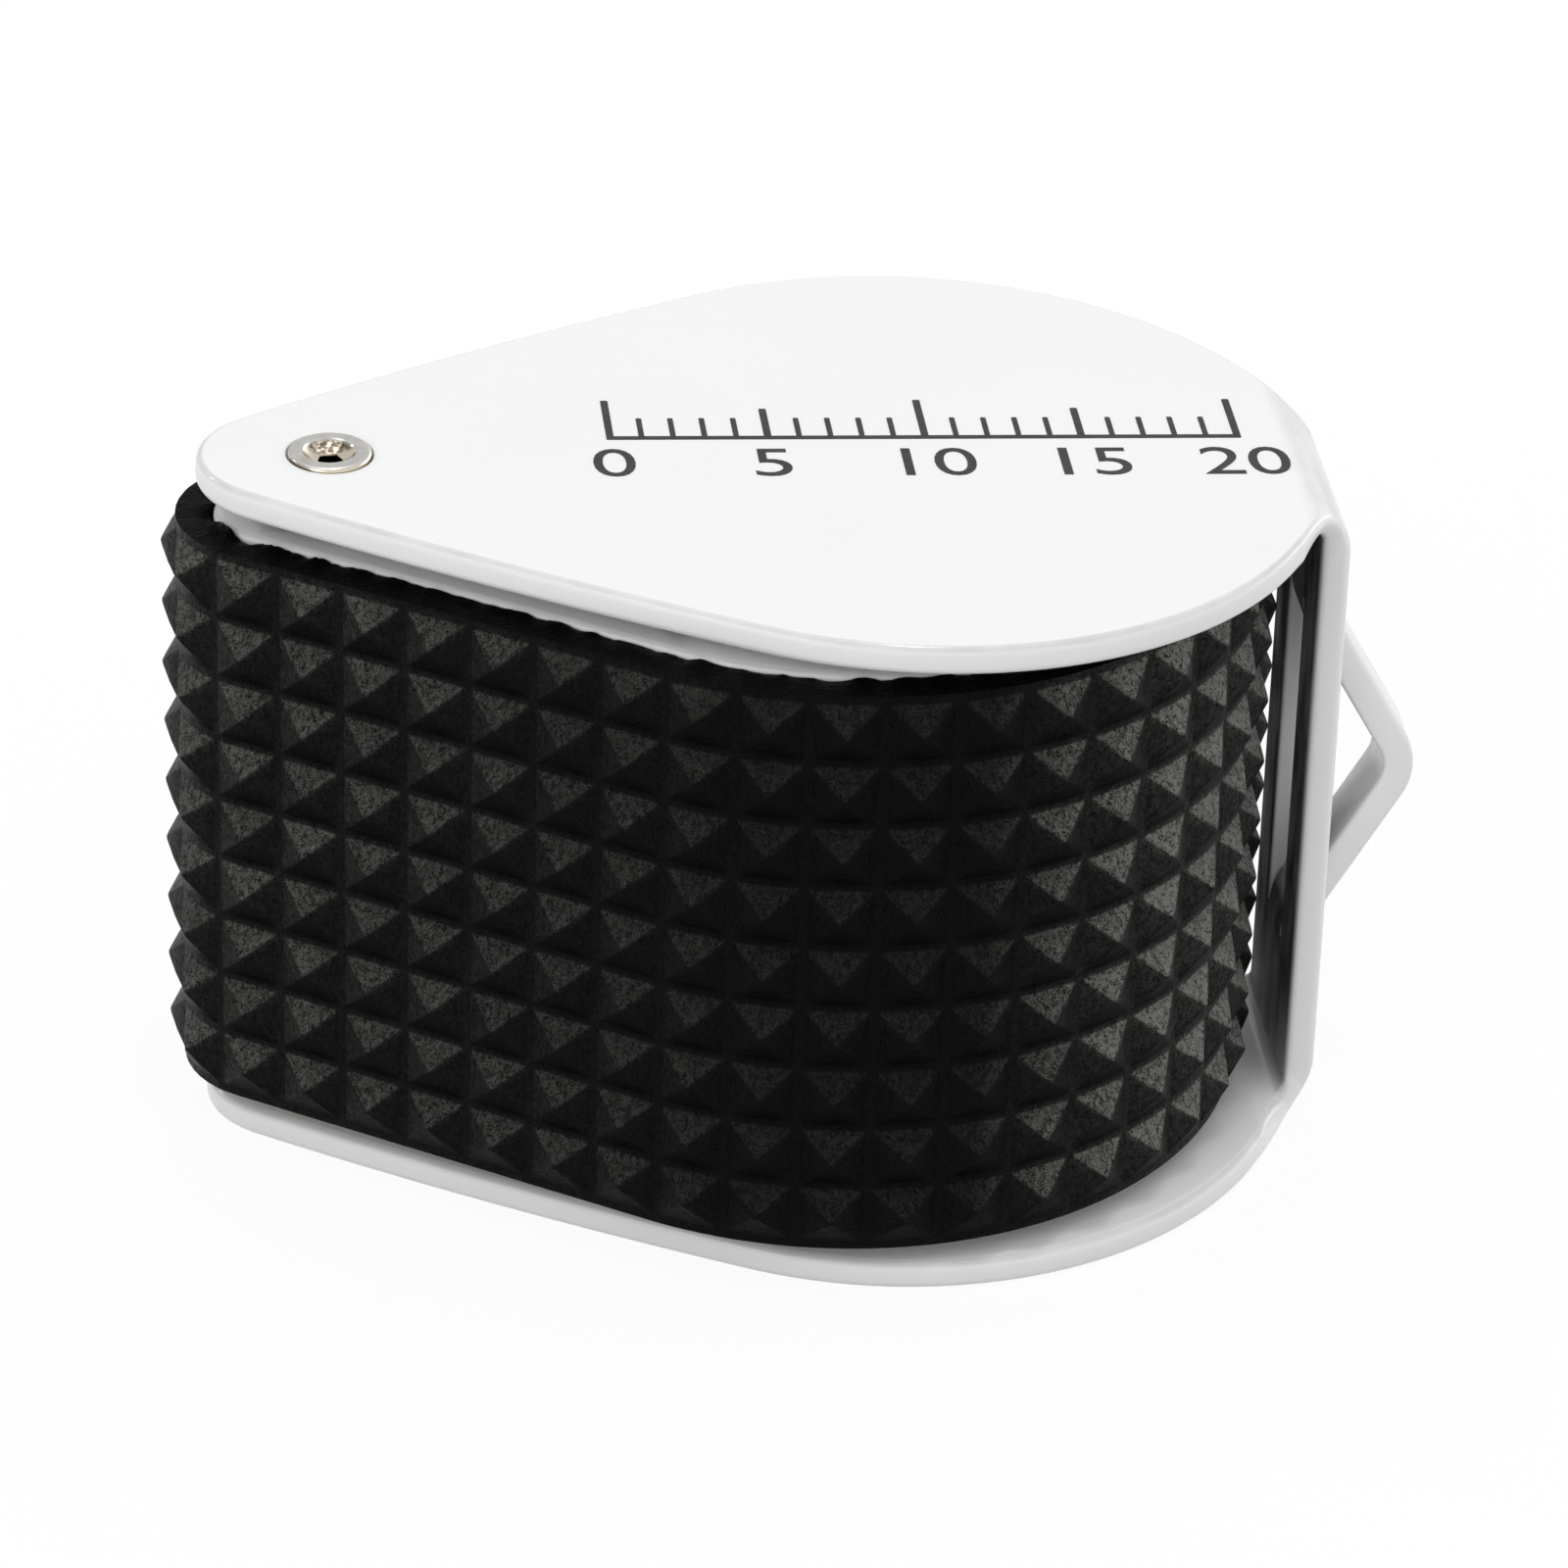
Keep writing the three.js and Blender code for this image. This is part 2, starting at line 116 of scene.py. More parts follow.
scene = bpy.context.scene
lens = bpy.data.cameras.new("picture_camera")
lens.sensor_width = 36.0
lens.lens = 160.941
lens.clip_start = 0.005
camera = bpy.data.objects.new("picture_camera", lens)
scene.collection.objects.link(camera)
camera.location = camera_place
camera.rotation_euler = camera_turn
scene.camera = camera
print("camera", round((camera_place - loupe_middle).length / MM, 1), "mm away")

# %% [markdown]
# ## Helpers for nodes
# Blender describes light and finishes as graphs of small nodes. Made one call at a time,
# such a graph fills a page and hides what it does. So a few functions make a node and
# join it up at once, and the cells below read like sums: this colour, times that share.

# %% Node helpers
def wire(tree, value, socket):
    """Feeds a socket with a number, a colour, an output, or the first output of a node."""
    if isinstance(value, bpy.types.Node):
        value = value.outputs[0]
    if isinstance(value, bpy.types.NodeSocket):
        tree.links.new(value, socket)
    else:
        socket.default_value = value


def add_node(tree, kind, inputs, **settings):
    """A shader node with its settings, and with its inputs fed."""
    node = tree.nodes.new("ShaderNode" + kind)
    for name, value in settings.items():
        setattr(node, name, value)
    for socket, value in inputs.items():
        wire(tree, value, node.inputs[socket])
    return node


def bare_tree(owner):
    """The emptied node tree of a world or a material."""
    owner.use_nodes = True
    owner.node_tree.nodes.clear()
    return owner.node_tree


def reckon(tree, way, *values):
    """One sum of a few values."""
    return add_node(tree, "Math", dict(enumerate(values)), operation=way)


def product(tree, first, *others):
    """All the values multiplied."""
    for other in others:
        first = reckon(tree, "MULTIPLY", first, other)
    return first


def spread(tree, value, low, high, start=0.3, end=0.7):
    """Stretches a value, such as a noise, so that it runs from low to high."""
    return add_node(tree, "MapRange", {"Value": value, "From Min": start, "From Max": end,
                                       "To Min": low, "To Max": high})


def part_of(tree, output, axis):
    """One axis of what a texture coordinate node gives."""
    place = add_node(tree, "TexCoord", {}).outputs[output]
    return add_node(tree, "SeparateXYZ", {0: place}).outputs[axis]


print("node helpers ready")

# %% [markdown]
# ## A white table in a white tent
# Small shiny things are photographed on a white table in a tent of white cloth, with the
# lamps outside it. The tent's cloth comes in a later cell; the sky here only fills what
# the cloth doesn't reach, a little stronger from above. The picture has a plain white
# background, so the sky and the table are white for rays that come straight from the
# camera, from metal or through glass. For all other rays the table gives back less light,
# since a white table would lift every shadow under the studs.

# %% Sky
sky_level = 0.80
sky_below, sky_above = 0.9 * sky_level, 1.15 * sky_level
scene.view_settings.view_transform = "Standard"


def seen_directly(tree):
    """One for rays from the camera, from glossy metal or through glass, else zero."""
    rays = add_node(tree, "LightPath", {}).outputs
    first = reckon(tree, "MAXIMUM", rays["Is Camera Ray"], rays["Is Glossy Ray"])
    return reckon(tree, "MAXIMUM", first, rays["Is Transmission Ray"])


sky = bpy.data.worlds.new("tent")
scene.world = sky
tree = bare_tree(sky)
lift = spread(tree, part_of(tree, "Generated", 2), sky_below, sky_above, start=-0.1, end=1.0)
tent = add_node(tree, "Background", {"Color": (0.985, 0.99, 1.0, 1), "Strength": lift})
white = add_node(tree, "Background", {"Color": (1, 1, 1, 1), "Strength": 1.0})
choice = add_node(tree, "MixShader", {"Fac": seen_directly(tree), 1: tent, 2: white})
add_node(tree, "OutputWorld", {"Surface": choice})
print("sky nodes", len(tree.nodes))

# %% Table
table_bounce, table_seen = 0.45, 0.95
table_white = 0.92
table_half, table_drop = 1.2, 0.00002


def backdrop(name, points, faces, finish):
    """A piece of the surroundings. It isn't part of the loupe."""
    mesh = bpy.data.meshes.new(name)
    mesh.from_pydata(points, [], faces)
    mesh.materials.append(finish)
    piece = bpy.data.objects.new(name, mesh)
    scene.collection.objects.link(piece)
    return piece


table_finish = bpy.data.materials.new("white_table")
tree = bare_tree(table_finish)
seen = seen_directly(tree)
shade = spread(tree, seen, table_bounce, table_seen, start=0, end=1)
dull = add_node(tree, "BsdfDiffuse", {"Color": shade})
glow = add_node(tree, "Emission", {"Strength": 1.0})
choice = add_node(tree, "MixShader", {"Fac": product(tree, seen, table_white), 1: dull, 2: glow})
add_node(tree, "OutputMaterial", {"Surface": choice})
corners = [(x * table_half, y * table_half, 0) for x, y in ((-1, -1), (1, -1), (1, 1), (-1, 1))]
table = backdrop("table", corners, [(0, 1, 2, 3)], table_finish)
table.location.z = -table_drop
table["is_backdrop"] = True
print("table", 2 * table_half, "m wide")

# %% [markdown]
# ## The tent's cloth
# The cloth isn't equally bright. It glows where a lamp stands behind it: overhead, to the
# left of the camera, low behind the right side, and a little beside the camera. This
# gives every edge and every stud one brighter and one darker side: under an even white
# sky they all turn into flat grey.
# A few lamps in the open would do it too, but a glowing dome gives softer changes. It
# is kept out of the camera's own sight and of what glass lets through, so that the
# background stays white from every side.

# %% Cloth dome
dome_radius, dome_rows, dome_sides = 0.8, 18, 72
cloth_level = 0.64
opening_loss, opening_wide, opening_above = 0.25, 42, 38
overhead_glow, overhead_wide = 1.05, 26
# Strength, then the direction round and up with the width of each, in degrees.
lamps_behind_cloth = ((2.4, -42, 22, 26, 14), (3.4, 118, 24, 4, 14), (0.45, 15, 60, 8, 26))


def bump_of(angle, middle, width):
    """One in the middle and falling off softly over a width, all in degrees."""
    off = (angle - middle + 180) % 360 - 180
    return math.exp(-(off / width) ** 2)


def cloth_glow(way):
    """How brightly the cloth glows in a direction, seen from the loupe."""
    round_angle = math.degrees(math.atan2(way.x, -way.y))
    up_angle = math.degrees(math.asin(max(-1, min(1, way.z))))
    opening = bump_of(round_angle, 0, opening_wide) * (1 - bump_of(up_angle, 90, opening_above))
    glow = cloth_level * (1 - opening_loss * opening)
    for strength, around, wide, height, tall in lamps_behind_cloth:
        glow += strength * bump_of(round_angle, around, wide) * bump_of(up_angle, height, tall)
    return glow + overhead_glow * bump_of(up_angle, 90, overhead_wide)


points, quads = [], []
for row in range(dome_rows + 1):
    up_angle = math.pi / 2 * row / dome_rows
    for side in range(dome_sides):
        turn = 2 * math.pi * side / dome_sides
        level = dome_radius * math.cos(up_angle)
        points.append((level * math.cos(turn), level * math.sin(turn),
                       dome_radius * math.sin(up_angle)))
for row in range(dome_rows):
    for side in range(dome_sides):
        a, b = row * dome_sides + side, row * dome_sides + (side + 1) % dome_sides
        quads.append((a, a + dome_sides, b + dome_sides, b))
dome_finish = bpy.data.materials.new("glowing_cloth")
tree = bare_tree(dome_finish)
brightness = add_node(tree, "Attribute", {}, attribute_name="glow").outputs["Fac"]
glow = add_node(tree, "Emission", {"Color": (0.99, 0.995, 1.0, 1), "Strength": brightness})
add_node(tree, "OutputMaterial", {"Surface": glow})
dome = backdrop("cloth_dome", points, quads, dome_finish)
dome.visible_camera = False
dome.visible_transmission = False
dome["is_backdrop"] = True
glow_layer = dome.data.color_attributes.new("glow", "FLOAT_COLOR", "POINT")
for i, point in enumerate(points):
    value = cloth_glow(Vector(point).normalized())
    glow_layer.data[i].color = (value, value, value, 1)
print("cloth glow ahead, left, right, above",
      [round(cloth_glow(Vector(w)), 2) for w in ((0, -1, 0), (-1, 0, 0), (1, 0, 0), (0, 0, 1))])

# %% [markdown]
# ## Two small lamps
# Soft cloth alone leaves gloss dull. Two small lamps inside the tent, one high above and
# one behind on the left, put the small glints on the rounded edge of the paint and on the
# rivet's rim. They are weak, so that their shadows don't show.

# %% Lamps
def soft_lamp(name, place, size, power):
    """A square lamp that looks at the middle of the loupe."""
    light = bpy.data.lights.new(name, "AREA")
    light.shape = "SQUARE"
    light.size = size
    light.energy = power
    lamp = bpy.data.objects.new(name, light)
    lamp.location = place
    aim = loupe_middle - lamp.location
    lamp.rotation_euler = aim.to_track_quat("-Z", "Y").to_euler()
    lamp.visible_camera = False
    scene.collection.objects.link(lamp)
    print(name, round(lamp.location.length, 2), "m away")


soft_lamp("lamp_above", place=(0.02, -0.06, 0.60), size=0.045, power=0.35)
soft_lamp("lamp_behind", place=(-0.47, 0.26, 0.27), size=0.03, power=0.16)

# %% [markdown]
# ## Helpers for finishes
# A finish is never one flat value. Paint is a little uneven, rubber is grained and metal
# has the marks of the tool. Pictures of these could be wrapped on, but Blender's own noise
# works in three dimensions, needs no unwrapping and has no seams, so it is used here.
# Its size is given in millimetres, like everything else.

# %% Finish helpers
def new_finish(name, **values):
    """A material with a Principled shader, whose even values are set on its own sockets."""
    finish = bpy.data.materials.new(name)
    finish.use_nodes = True
    shader = finish.node_tree.nodes["Principled BSDF"]
    for socket, value in values.items():
        shader.inputs[socket.replace("_", " ")].default_value = value
    return finish, finish.node_tree, shader


def mapped(tree, **change):
    """Places on the piece, moved or stretched."""
    place = add_node(tree, "TexCoord", {}).outputs["Object"]
    return add_node(tree, "Mapping", {"Vector": place, **change})


def blotches(tree, size, detail=3.0, roughness=0.5, stretch=(1, 1, 1), distort=0.0):
    """Noise with blotches of about this many millimetres."""
    return add_node(tree, "TexNoise", {
        "Vector": mapped(tree, Scale=stretch), "Scale": 1 / (size * MM), "Detail": detail,
        "Roughness": roughness, "Distortion": distort})


def tool_rings(tree, x, pitch):
    """Fine rings round an upright axis at x, as a turning tool leaves them."""
    one_ring = 0.314
    return add_node(tree, "TexWave", {
        "Vector": mapped(tree, Location=(-x * MM, 0, 0)), "Scale": one_ring / (pitch * MM),
        "Distortion": 1.2, "Detail": 2.0}, wave_type="RINGS", rings_direction="Z").outputs[1]


def facing(tree, axis):
    """How far the surface looks along one axis of the part, from -1 to 1."""
    return part_of(tree, "Normal", axis)


def placed(tree, axis):
    """Where the surface is along one axis of the part, in metres."""
    return part_of(tree, "Object", axis)


def two_colours(tree, share, first, second):
    """Goes from the first colour to the second. A colour is three numbers or an output."""
    first, second = ((*c, 1) if isinstance(c, tuple) else c for c in (first, second))
    return add_node(tree, "Mix", {0: share, 6: first, 7: second}, data_type="RGBA").outputs[2]


def relief(tree, shader, layers):
    """Bumps on top of each other. Each layer is a height and its depth in millimetres."""
    bump = None
    for height, depth in layers:
        inputs = {"Height": height, "Distance": depth * MM, "Strength": 1.0}
        if bump is not None:
            inputs["Normal"] = bump
        bump = add_node(tree, "Bump", inputs)
    wire(tree, bump, shader.inputs["Normal"])


def mottled(name, size, first, second, fine, smooth, rough, details=(3, 4), span=(0.3, 0.7),
            **values):
    """A finish of two colours in blotches, whose roughness varies over finer blotches."""
    finish, tree, shader = new_finish(name, **values)
    share = spread(tree, blotches(tree, size, details[0]), 0, 1)
    wire(tree, two_colours(tree, share, first, second), shader.inputs["Base Color"])
    worn = spread(tree, blotches(tree, fine, details[1]), smooth, rough, *span)
    wire(tree, worn, shader.inputs["Roughness"])
    return finish, tree, shader


print("finish helpers ready")

# %% [markdown]
# ## Helpers for pieces
# Most of the loupe is either cut from plate or turned on a lathe. So two helpers make
# nearly all of it: one gives a plate with holes and worked edges, the other turns a
# profile about an axis. Real edges are never sharp, and a rounded edge is what catches
# the light, so every outline gets a rim and every profile gets soft corners.

# %% Piece helpers
def finished_mesh(name, shape):
    """Turns a bmesh drawn in millimetres into a mesh in metres."""
    bmesh.ops.scale(shape, vec=(MM, MM, MM), verts=shape.verts)
    bmesh.ops.recalc_face_normals(shape, faces=shape.faces)
    mesh = bpy.data.meshes.new(name)
    shape.to_mesh(mesh)
    shape.free()
    return mesh


def dress(name, shape, body, node, slot, *finishes, crease=40):
    """Gives a drawn shape its finish and its body, and hides the solid that it stands for."""
    mesh = shape if isinstance(shape, bpy.types.Mesh) else finished_mesh(name, shape)
    for finish in finishes:
        mesh.materials.append(finish)
    mesh.shade_smooth()
    mesh.set_sharp_from_angle(angle=math.radians(crease))
    piece = bpy.data.objects.new(name, mesh)
    scene.collection.objects.link(piece)
    shading = piece.modifiers.new("even_shading", "WEIGHTED_NORMAL")
    shading.weight = 80
    shading.keep_sharp = True
    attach(piece, body)
    if node:
        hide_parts(node)
    low = [min(v.co[i] for v in mesh.vertices) / MM for i in range(3)]
    high = [max(v.co[i] for v in mesh.vertices) / MM for i in range(3)]
    print(name, len(mesh.polygons), "faces, size", [round(b - a, 2) for a, b in zip(low, high)])


print("shared finishing ready")

# %% Plate helpers
sharpest_step = 0.4


def band(shape, low, high):
    """Closes the gap between two rings with the same number of corners."""
    for i in range(len(low)):
        j = (i + 1) % len(low)
        shape.faces.new((low[i], low[j], high[j], high[i]))


def area_of(loop):
    return sum(a[0] * b[1] - b[0] * a[1] for a, b in zip(loop, loop[1:] + loop[:1])) / 2


def steps_inwards(loop):
    """At each corner of a loop with the metal on its left, one unit into the metal."""
    steps = []
    for i, point in enumerate(loop):
        before = (Vector(point) - Vector(loop[i - 1])).normalized()
        after = (Vector(loop[(i + 1) % len(loop)]) - Vector(point)).normalized()
        middle = Vector((-before.y - after.y, before.x + after.x)).normalized()
        steps.append(middle / max(sharpest_step, middle.dot(Vector((-after.y, after.x)))))
    return steps


def plate(loops):
    """A plate with holes. The first loop is its outline. Each loop comes with its rim, a
    list of (step into the metal, height) from the lower face to the upper one."""
    shape = bmesh.new()
    low_edges, high_edges = [], []
    for number, (loop, rim) in enumerate(loops):
        if (area_of(loop) > 0) != (number == 0):
            loop = loop[::-1]
        steps = steps_inwards(loop)
        rings = [[shape.verts.new((p[0] + s.x * inset, p[1] + s.y * inset, height))
                  for p, s in zip(loop, steps)] for inset, height in rim]
        for lower, upper in zip(rings, rings[1:]):
            band(shape, lower, upper)
        pairs = [(i, (i + 1) % len(loop)) for i in range(len(loop))]
        low_edges += [shape.edges.get((rings[0][i], rings[0][j])) for i, j in pairs]
        high_edges += [shape.edges.get((rings[-1][i], rings[-1][j])) for i, j in pairs]
    bmesh.ops.triangle_fill(shape, edges=low_edges, use_beauty=True, normal=(0, 0, -1))
    bmesh.ops.triangle_fill(shape, edges=high_edges, use_beauty=True, normal=(0, 0, 1))
    return shape


def round_rim(thick, edge, steps=5):
    """A rim whose two edges are rounded off."""
    turns = [math.pi / 2 * i / steps for i in range(steps + 1)]
    low = [(edge * (1 - math.sin(a)), edge * (1 - math.cos(a))) for a in turns]
    return low + [(inset, thick - height) for inset, height in reversed(low)]


print("a rounded rim has", len(round_rim(1.0, 0.2)), "rings")

# %% Curve and lathe helpers
def arc(x, y, radius, start, end, count):
    turns = [start + (end - start) * i / count for i in range(count + 1)]
    return [(x + radius * math.cos(a), y + radius * math.sin(a)) for a in turns]


def circle(x, y, radius, count):
    return arc(x, y, radius, 0, 2 * math.pi, count)[:-1]


def curve_round(start, corner, end, shares):
    """Points on a soft curve from start to end that leans towards the corner."""
    return [tuple((1 - t) ** 2 * start + 2 * t * (1 - t) * corner + t * t * end) for t in shares]


def soft_corners(points, reach):
    """Cuts every corner of a closed line by a small curve."""
    result = []
    for i, point in enumerate(points):
        here = Vector(point)
        back = Vector(points[i - 1]) - here
        ahead = Vector(points[(i + 1) % len(points)]) - here
        cut = min(reach, 0.45 * back.length, 0.45 * ahead.length)
        start, end = here + back.normalized() * cut, here + ahead.normalized() * cut
        result += curve_round(start, here, end, (0.0, 0.33, 0.67, 1.0))
    return result


weld_reach = 0.0002


def lathe(profile, x=0.0, turns=96, closed=True):
    """Turns (radius, height) points about an upright axis at x. The profile may be a
    function of the angle, for a piece that isn't the same all round."""
    shape = bmesh.new()
    angles = turns if isinstance(turns, list) else [2 * math.pi * i / turns for i in range(turns)]
    columns = []
    for angle in angles:
        points = profile(angle) if callable(profile) else profile
        columns.append([shape.verts.new((x + r * math.cos(angle), r * math.sin(angle), z))
                        for r, z in points])
    count = len(columns[0])
    for i, column in enumerate(columns):
        following = columns[(i + 1) % len(columns)]
        for j in range(count if closed else count - 1):
            k = (j + 1) % count
            shape.faces.new((column[j], following[j], following[k], column[k]))
    bmesh.ops.remove_doubles(shape, verts=shape.verts, dist=weld_reach)
    return shape


print("a soft square has", len(soft_corners(circle(0, 0, 1, 4), 0.1)), "corners")

# %% [markdown]
# ## White stove enamel
# The cover and the housing are sprayed with white paint and baked. Such paint is smooth
# and glossy, but not like a mirror: it dries with a faint orange peel. Its colour is kept
# just below white, so that the light can still model it. On the roundings of the edges the
# colour is painted a little greyer, as painted shade, and small grains there catch the
# lamps. On the inside of the web, in the narrow gap by the rubber, the paint is painted
# nearly black and dull: this is painted shade. A separate material for that side would end
# at a hard line, so the painted shade is part of the paint: it lies where the surface
# looks back at the rubber, near the web, in patches.

# %% White paint
white_paint, tree, shader = new_finish("white_paint", IOR=1.5)
cloudy = spread(tree, blotches(tree, 9.0), 0, 1, start=0.2, end=0.8)
full_white = two_colours(tree, cloudy, (0.872, 0.872, 0.868), (0.89, 0.89, 0.886))
off_the_side = spread(tree, facing(tree, 2), 0, 1, start=0.25, end=0.65)
off_the_top = spread(tree, facing(tree, 2), 1, 0, start=0.90, end=0.985)
edge = product(tree, off_the_side, off_the_top)
# Painted shade: the rounded edges of the paint are painted greyer, in patches.
painted_rim_shade = product(tree, edge, spread(tree, blotches(tree, 1.6, detail=2), 0.6, 1.0))
rim_shaded_white = two_colours(tree, painted_rim_shade, full_white, (0.63, 0.63, 0.63))
print("clean paint nodes", len(tree.nodes))

# %% Painted shade on the web
# Painted shade: where the paint looks back at the rubber near the web it is painted nearly black in
# patches, less so low down, and made rougher and less glossy there.
looks_back = spread(tree, facing(tree, 0), 1, 0, start=-0.95, end=-0.55)
from_web_in = spread(tree, placed(tree, 0), 0, 1, start=12.6 * MM, end=14.2 * MM)
from_web_out = spread(tree, placed(tree, 0), 1, 0, start=14.6 * MM, end=15.0 * MM)
web_shade_patches = spread(tree, blotches(tree, 1.1, stretch=(1, 1, 0.35)), 0.80, 1.0)
less_below = spread(tree, placed(tree, 2), 0.75, 1.0, start=1.5 * MM, end=5.0 * MM)
painted_web_shade = product(tree, looks_back, from_web_in, from_web_out, web_shade_patches, less_below)
wire(tree, two_colours(tree, painted_web_shade, rim_shaded_white, (0.030, 0.031, 0.030)), shader.inputs["Base Color"])
smooth = spread(tree, blotches(tree, 2.5, detail=2), 0.21, 0.26, start=0.2, end=0.8)
glossier = reckon(tree, "SUBTRACT", smooth, product(tree, edge, 0.10))
wire(tree, reckon(tree, "MAXIMUM", glossier, product(tree, painted_web_shade, 0.8)), shader.inputs["Roughness"])
wire(tree, spread(tree, painted_web_shade, 0.5, 0.02, start=0, end=1), shader.inputs["Specular IOR Level"])
peel = blotches(tree, 0.7, detail=1, roughness=0.4)
grain = product(tree, blotches(tree, 0.16, detail=1, roughness=0.4), edge)
relief(tree, shader, [(peel, 0.003), (grain, 0.004)])
print("white paint nodes", len(tree.nodes))

# %% [markdown]
# ## The cover, drawn flat
# The cover starts as one flat strip: a teardrop, a short neck, and a second teardrop.
# Two slits in the neck free a strip that is later pushed out, and each teardrop has a
# hole, sunk on the outside, for the spread ends of the rivet. The teardrops run straight
# into the neck, without a notch. One could model the bent shape at once, but drawn flat
# and then bent, as in the workshop, the sheet's rounded edge runs on without a break.

# %% Cover outline
cheek_radius, cheek_round_x = 13.0, 1.90
cheek_side_radius = 143.0
cheek_tip_x, cheek_tip_radius = -17.43, 3.2
neck_half = 3.5
flare_inset, flare_steps = 0.5, 12
neck_fillet, fillet_steps = 0.9, 6
web_half = cover_height / 2 - bend_outside
cover_edge = 0.3
round_steps, side_steps, tip_steps = 48, 20, 16


def flat_place(x, tilt):
    """Where a place along X on a bent cheek lies on the flat strip, from its middle."""
    full_turn = math.pi / 2 - tilt
    bend_end = bend_x + bend_outside * math.cos(full_turn)
    if x > bend_end:
        return web_half + bend_outside * math.acos((x - bend_x) / bend_outside)
    return web_half + bend_outside * full_turn + (bend_end - x) / math.cos(tilt)


def cheek_plan():
    """The cheek's outline from one side of the neck round the tip to the other side."""
    span = cheek_round_x - cheek_tip_x
    to_tip = cheek_side_radius - cheek_tip_radius
    to_round = cheek_side_radius - cheek_radius
    along = (to_tip ** 2 - to_round ** 2 + span ** 2) / (2 * span)
    across = math.sqrt(to_tip ** 2 - along ** 2)
    tip_turn = math.atan2(across, -along)
    round_turn = math.atan2(across, span - along)
    flare_x = web_outer_x - flare_inset
    flare_far = math.hypot(flare_x - cheek_round_x, neck_half)
    flare_turn = math.atan2(neck_half, flare_x - cheek_round_x)
    flare_turn += math.acos(cheek_radius / flare_far)
    half = arc(cheek_round_x, 0, cheek_radius, flare_turn, round_turn, round_steps)
    flare_start, flare_end = Vector((flare_x, neck_half)), Vector(half[0])
    half = [tuple(flare_start.lerp(flare_end, i / flare_steps)) for i in range(flare_steps)] + half
    half += arc(cheek_tip_x + along, -across, cheek_side_radius, round_turn, tip_turn,
                side_steps)[1:]
    half += arc(cheek_tip_x, 0, cheek_tip_radius, tip_turn, math.pi, tip_steps)[1:]
    return half + [(x, -y) for x, y in reversed(half[:-1])]


def cover_outline():
    upper = [(flat_place(x, splay), y) for x, y in cheek_plan()]
    lower = [(-flat_place(x, 0.0), -y) for x, y in cheek_plan()]
    return upper + lower


def fillet(loop, reach, corners):
    """Rounds the named corners of a loop of short steps with a curve of this reach."""
    result, skipped, curves = [], set(), {}
    count = len(loop)
    for corner in corners:
        ends = []
        for way in (-1, 1):
            walked, i = 0.0, corner
            while True:
                a, b = Vector(loop[i % count]), Vector(loop[(i + way) % count])
                if walked + (b - a).length >= reach:
                    ends.append(a + (b - a).normalized() * (reach - walked))
                    break
                walked += (b - a).length
                i += way
                skipped.add(i % count)
        curves[corner] = curve_round(ends[0], Vector(loop[corner]), ends[1],
                                     [j / fillet_steps for j in range(fillet_steps + 1)])
    for i, point in enumerate(loop):
        if i in curves:
            result += curves[i]
        elif i not in skipped:
            result.append(point)
    return result


outline = cover_outline()
side_count = len(cheek_plan())
outline = fillet(outline, neck_fillet, (0, side_count - 1, side_count, 2 * side_count - 1))
print("flat strip", round(2 * flat_place(cheek_tip_x - cheek_tip_radius, 0.0), 1), "mm long,",
      len(outline), "corners")

# %% [markdown]
# ## The cover, bent and with its loop pushed out
# The strip of the neck between the slits is pushed outwards into a flat V with a round
# top, and a cord or key ring goes through behind it. Then both cheeks are folded over a
# block with sharp edges, so a bend is tight on the inside and wide on the outside.
# The upper cheek springs back a little, so the two aren't quite parallel, and that is
# left in, because a rivet through soft washers never closes them fully.

# %% Cover
loop_half, loop_rise = 6.25, 0.35
loop_bend, loop_root, loop_reach = 2.2, 1.5, 3.03
strip_half = 1.15
slit_wide, slit_edge = 0.1, 0.16
hole_radius = 1.0
sink_radius, sink_depth = 1.37, 0.55
fold_steps, loop_steps, hole_steps = 28, 84, 48
snap_reach = 0.00001


def loop_slope():
    """The slope at which two arcs and a straight piece reach the loop's top."""
    arcs = loop_bend + loop_root
    far = math.hypot(arcs - loop_reach, loop_half)
    return math.atan2(loop_half, arcs - loop_reach) - math.acos(arcs / far)


slope = loop_slope()


def loop_face(u):
    """How far the pushed-out strip stands from the web at u, and which way it tilts."""
    u -= loop_rise
    t = abs(u)
    side = 1 if u >= 0 else -1
    if t >= loop_half:
        return 0.0, 0.0
    if t <= loop_bend * math.sin(slope):
        tilt = math.asin(t / loop_bend)
        return loop_reach - loop_bend * (1 - math.cos(tilt)), side * tilt
    if t >= loop_half - loop_root * math.sin(slope):
        tilt = math.asin((loop_half - t) / loop_root)
        return loop_root * (1 - math.cos(tilt)), side * tilt
    from_root = loop_half - loop_root * math.sin(slope) - t
    return loop_root * (1 - math.cos(slope)) + from_root * math.tan(slope), side * slope


def inner_face(share, turn):
    """A place on the inside of a bend, from its centre: straight, a tight arc, straight."""
    middle = bend_outside - sheet_thick - bend_inside
    straight = middle * math.tan(turn / 2)
    walked = share * (2 * straight + bend_inside * turn)
    if walked <= straight:
        return middle + bend_inside, walked
    angle = min((walked - straight) / bend_inside, turn)
    rest = walked - straight - bend_inside * angle
    x = middle + bend_inside * math.cos(angle) - rest * math.sin(angle)
    return x, straight + bend_inside * math.sin(angle) + rest * math.cos(angle)


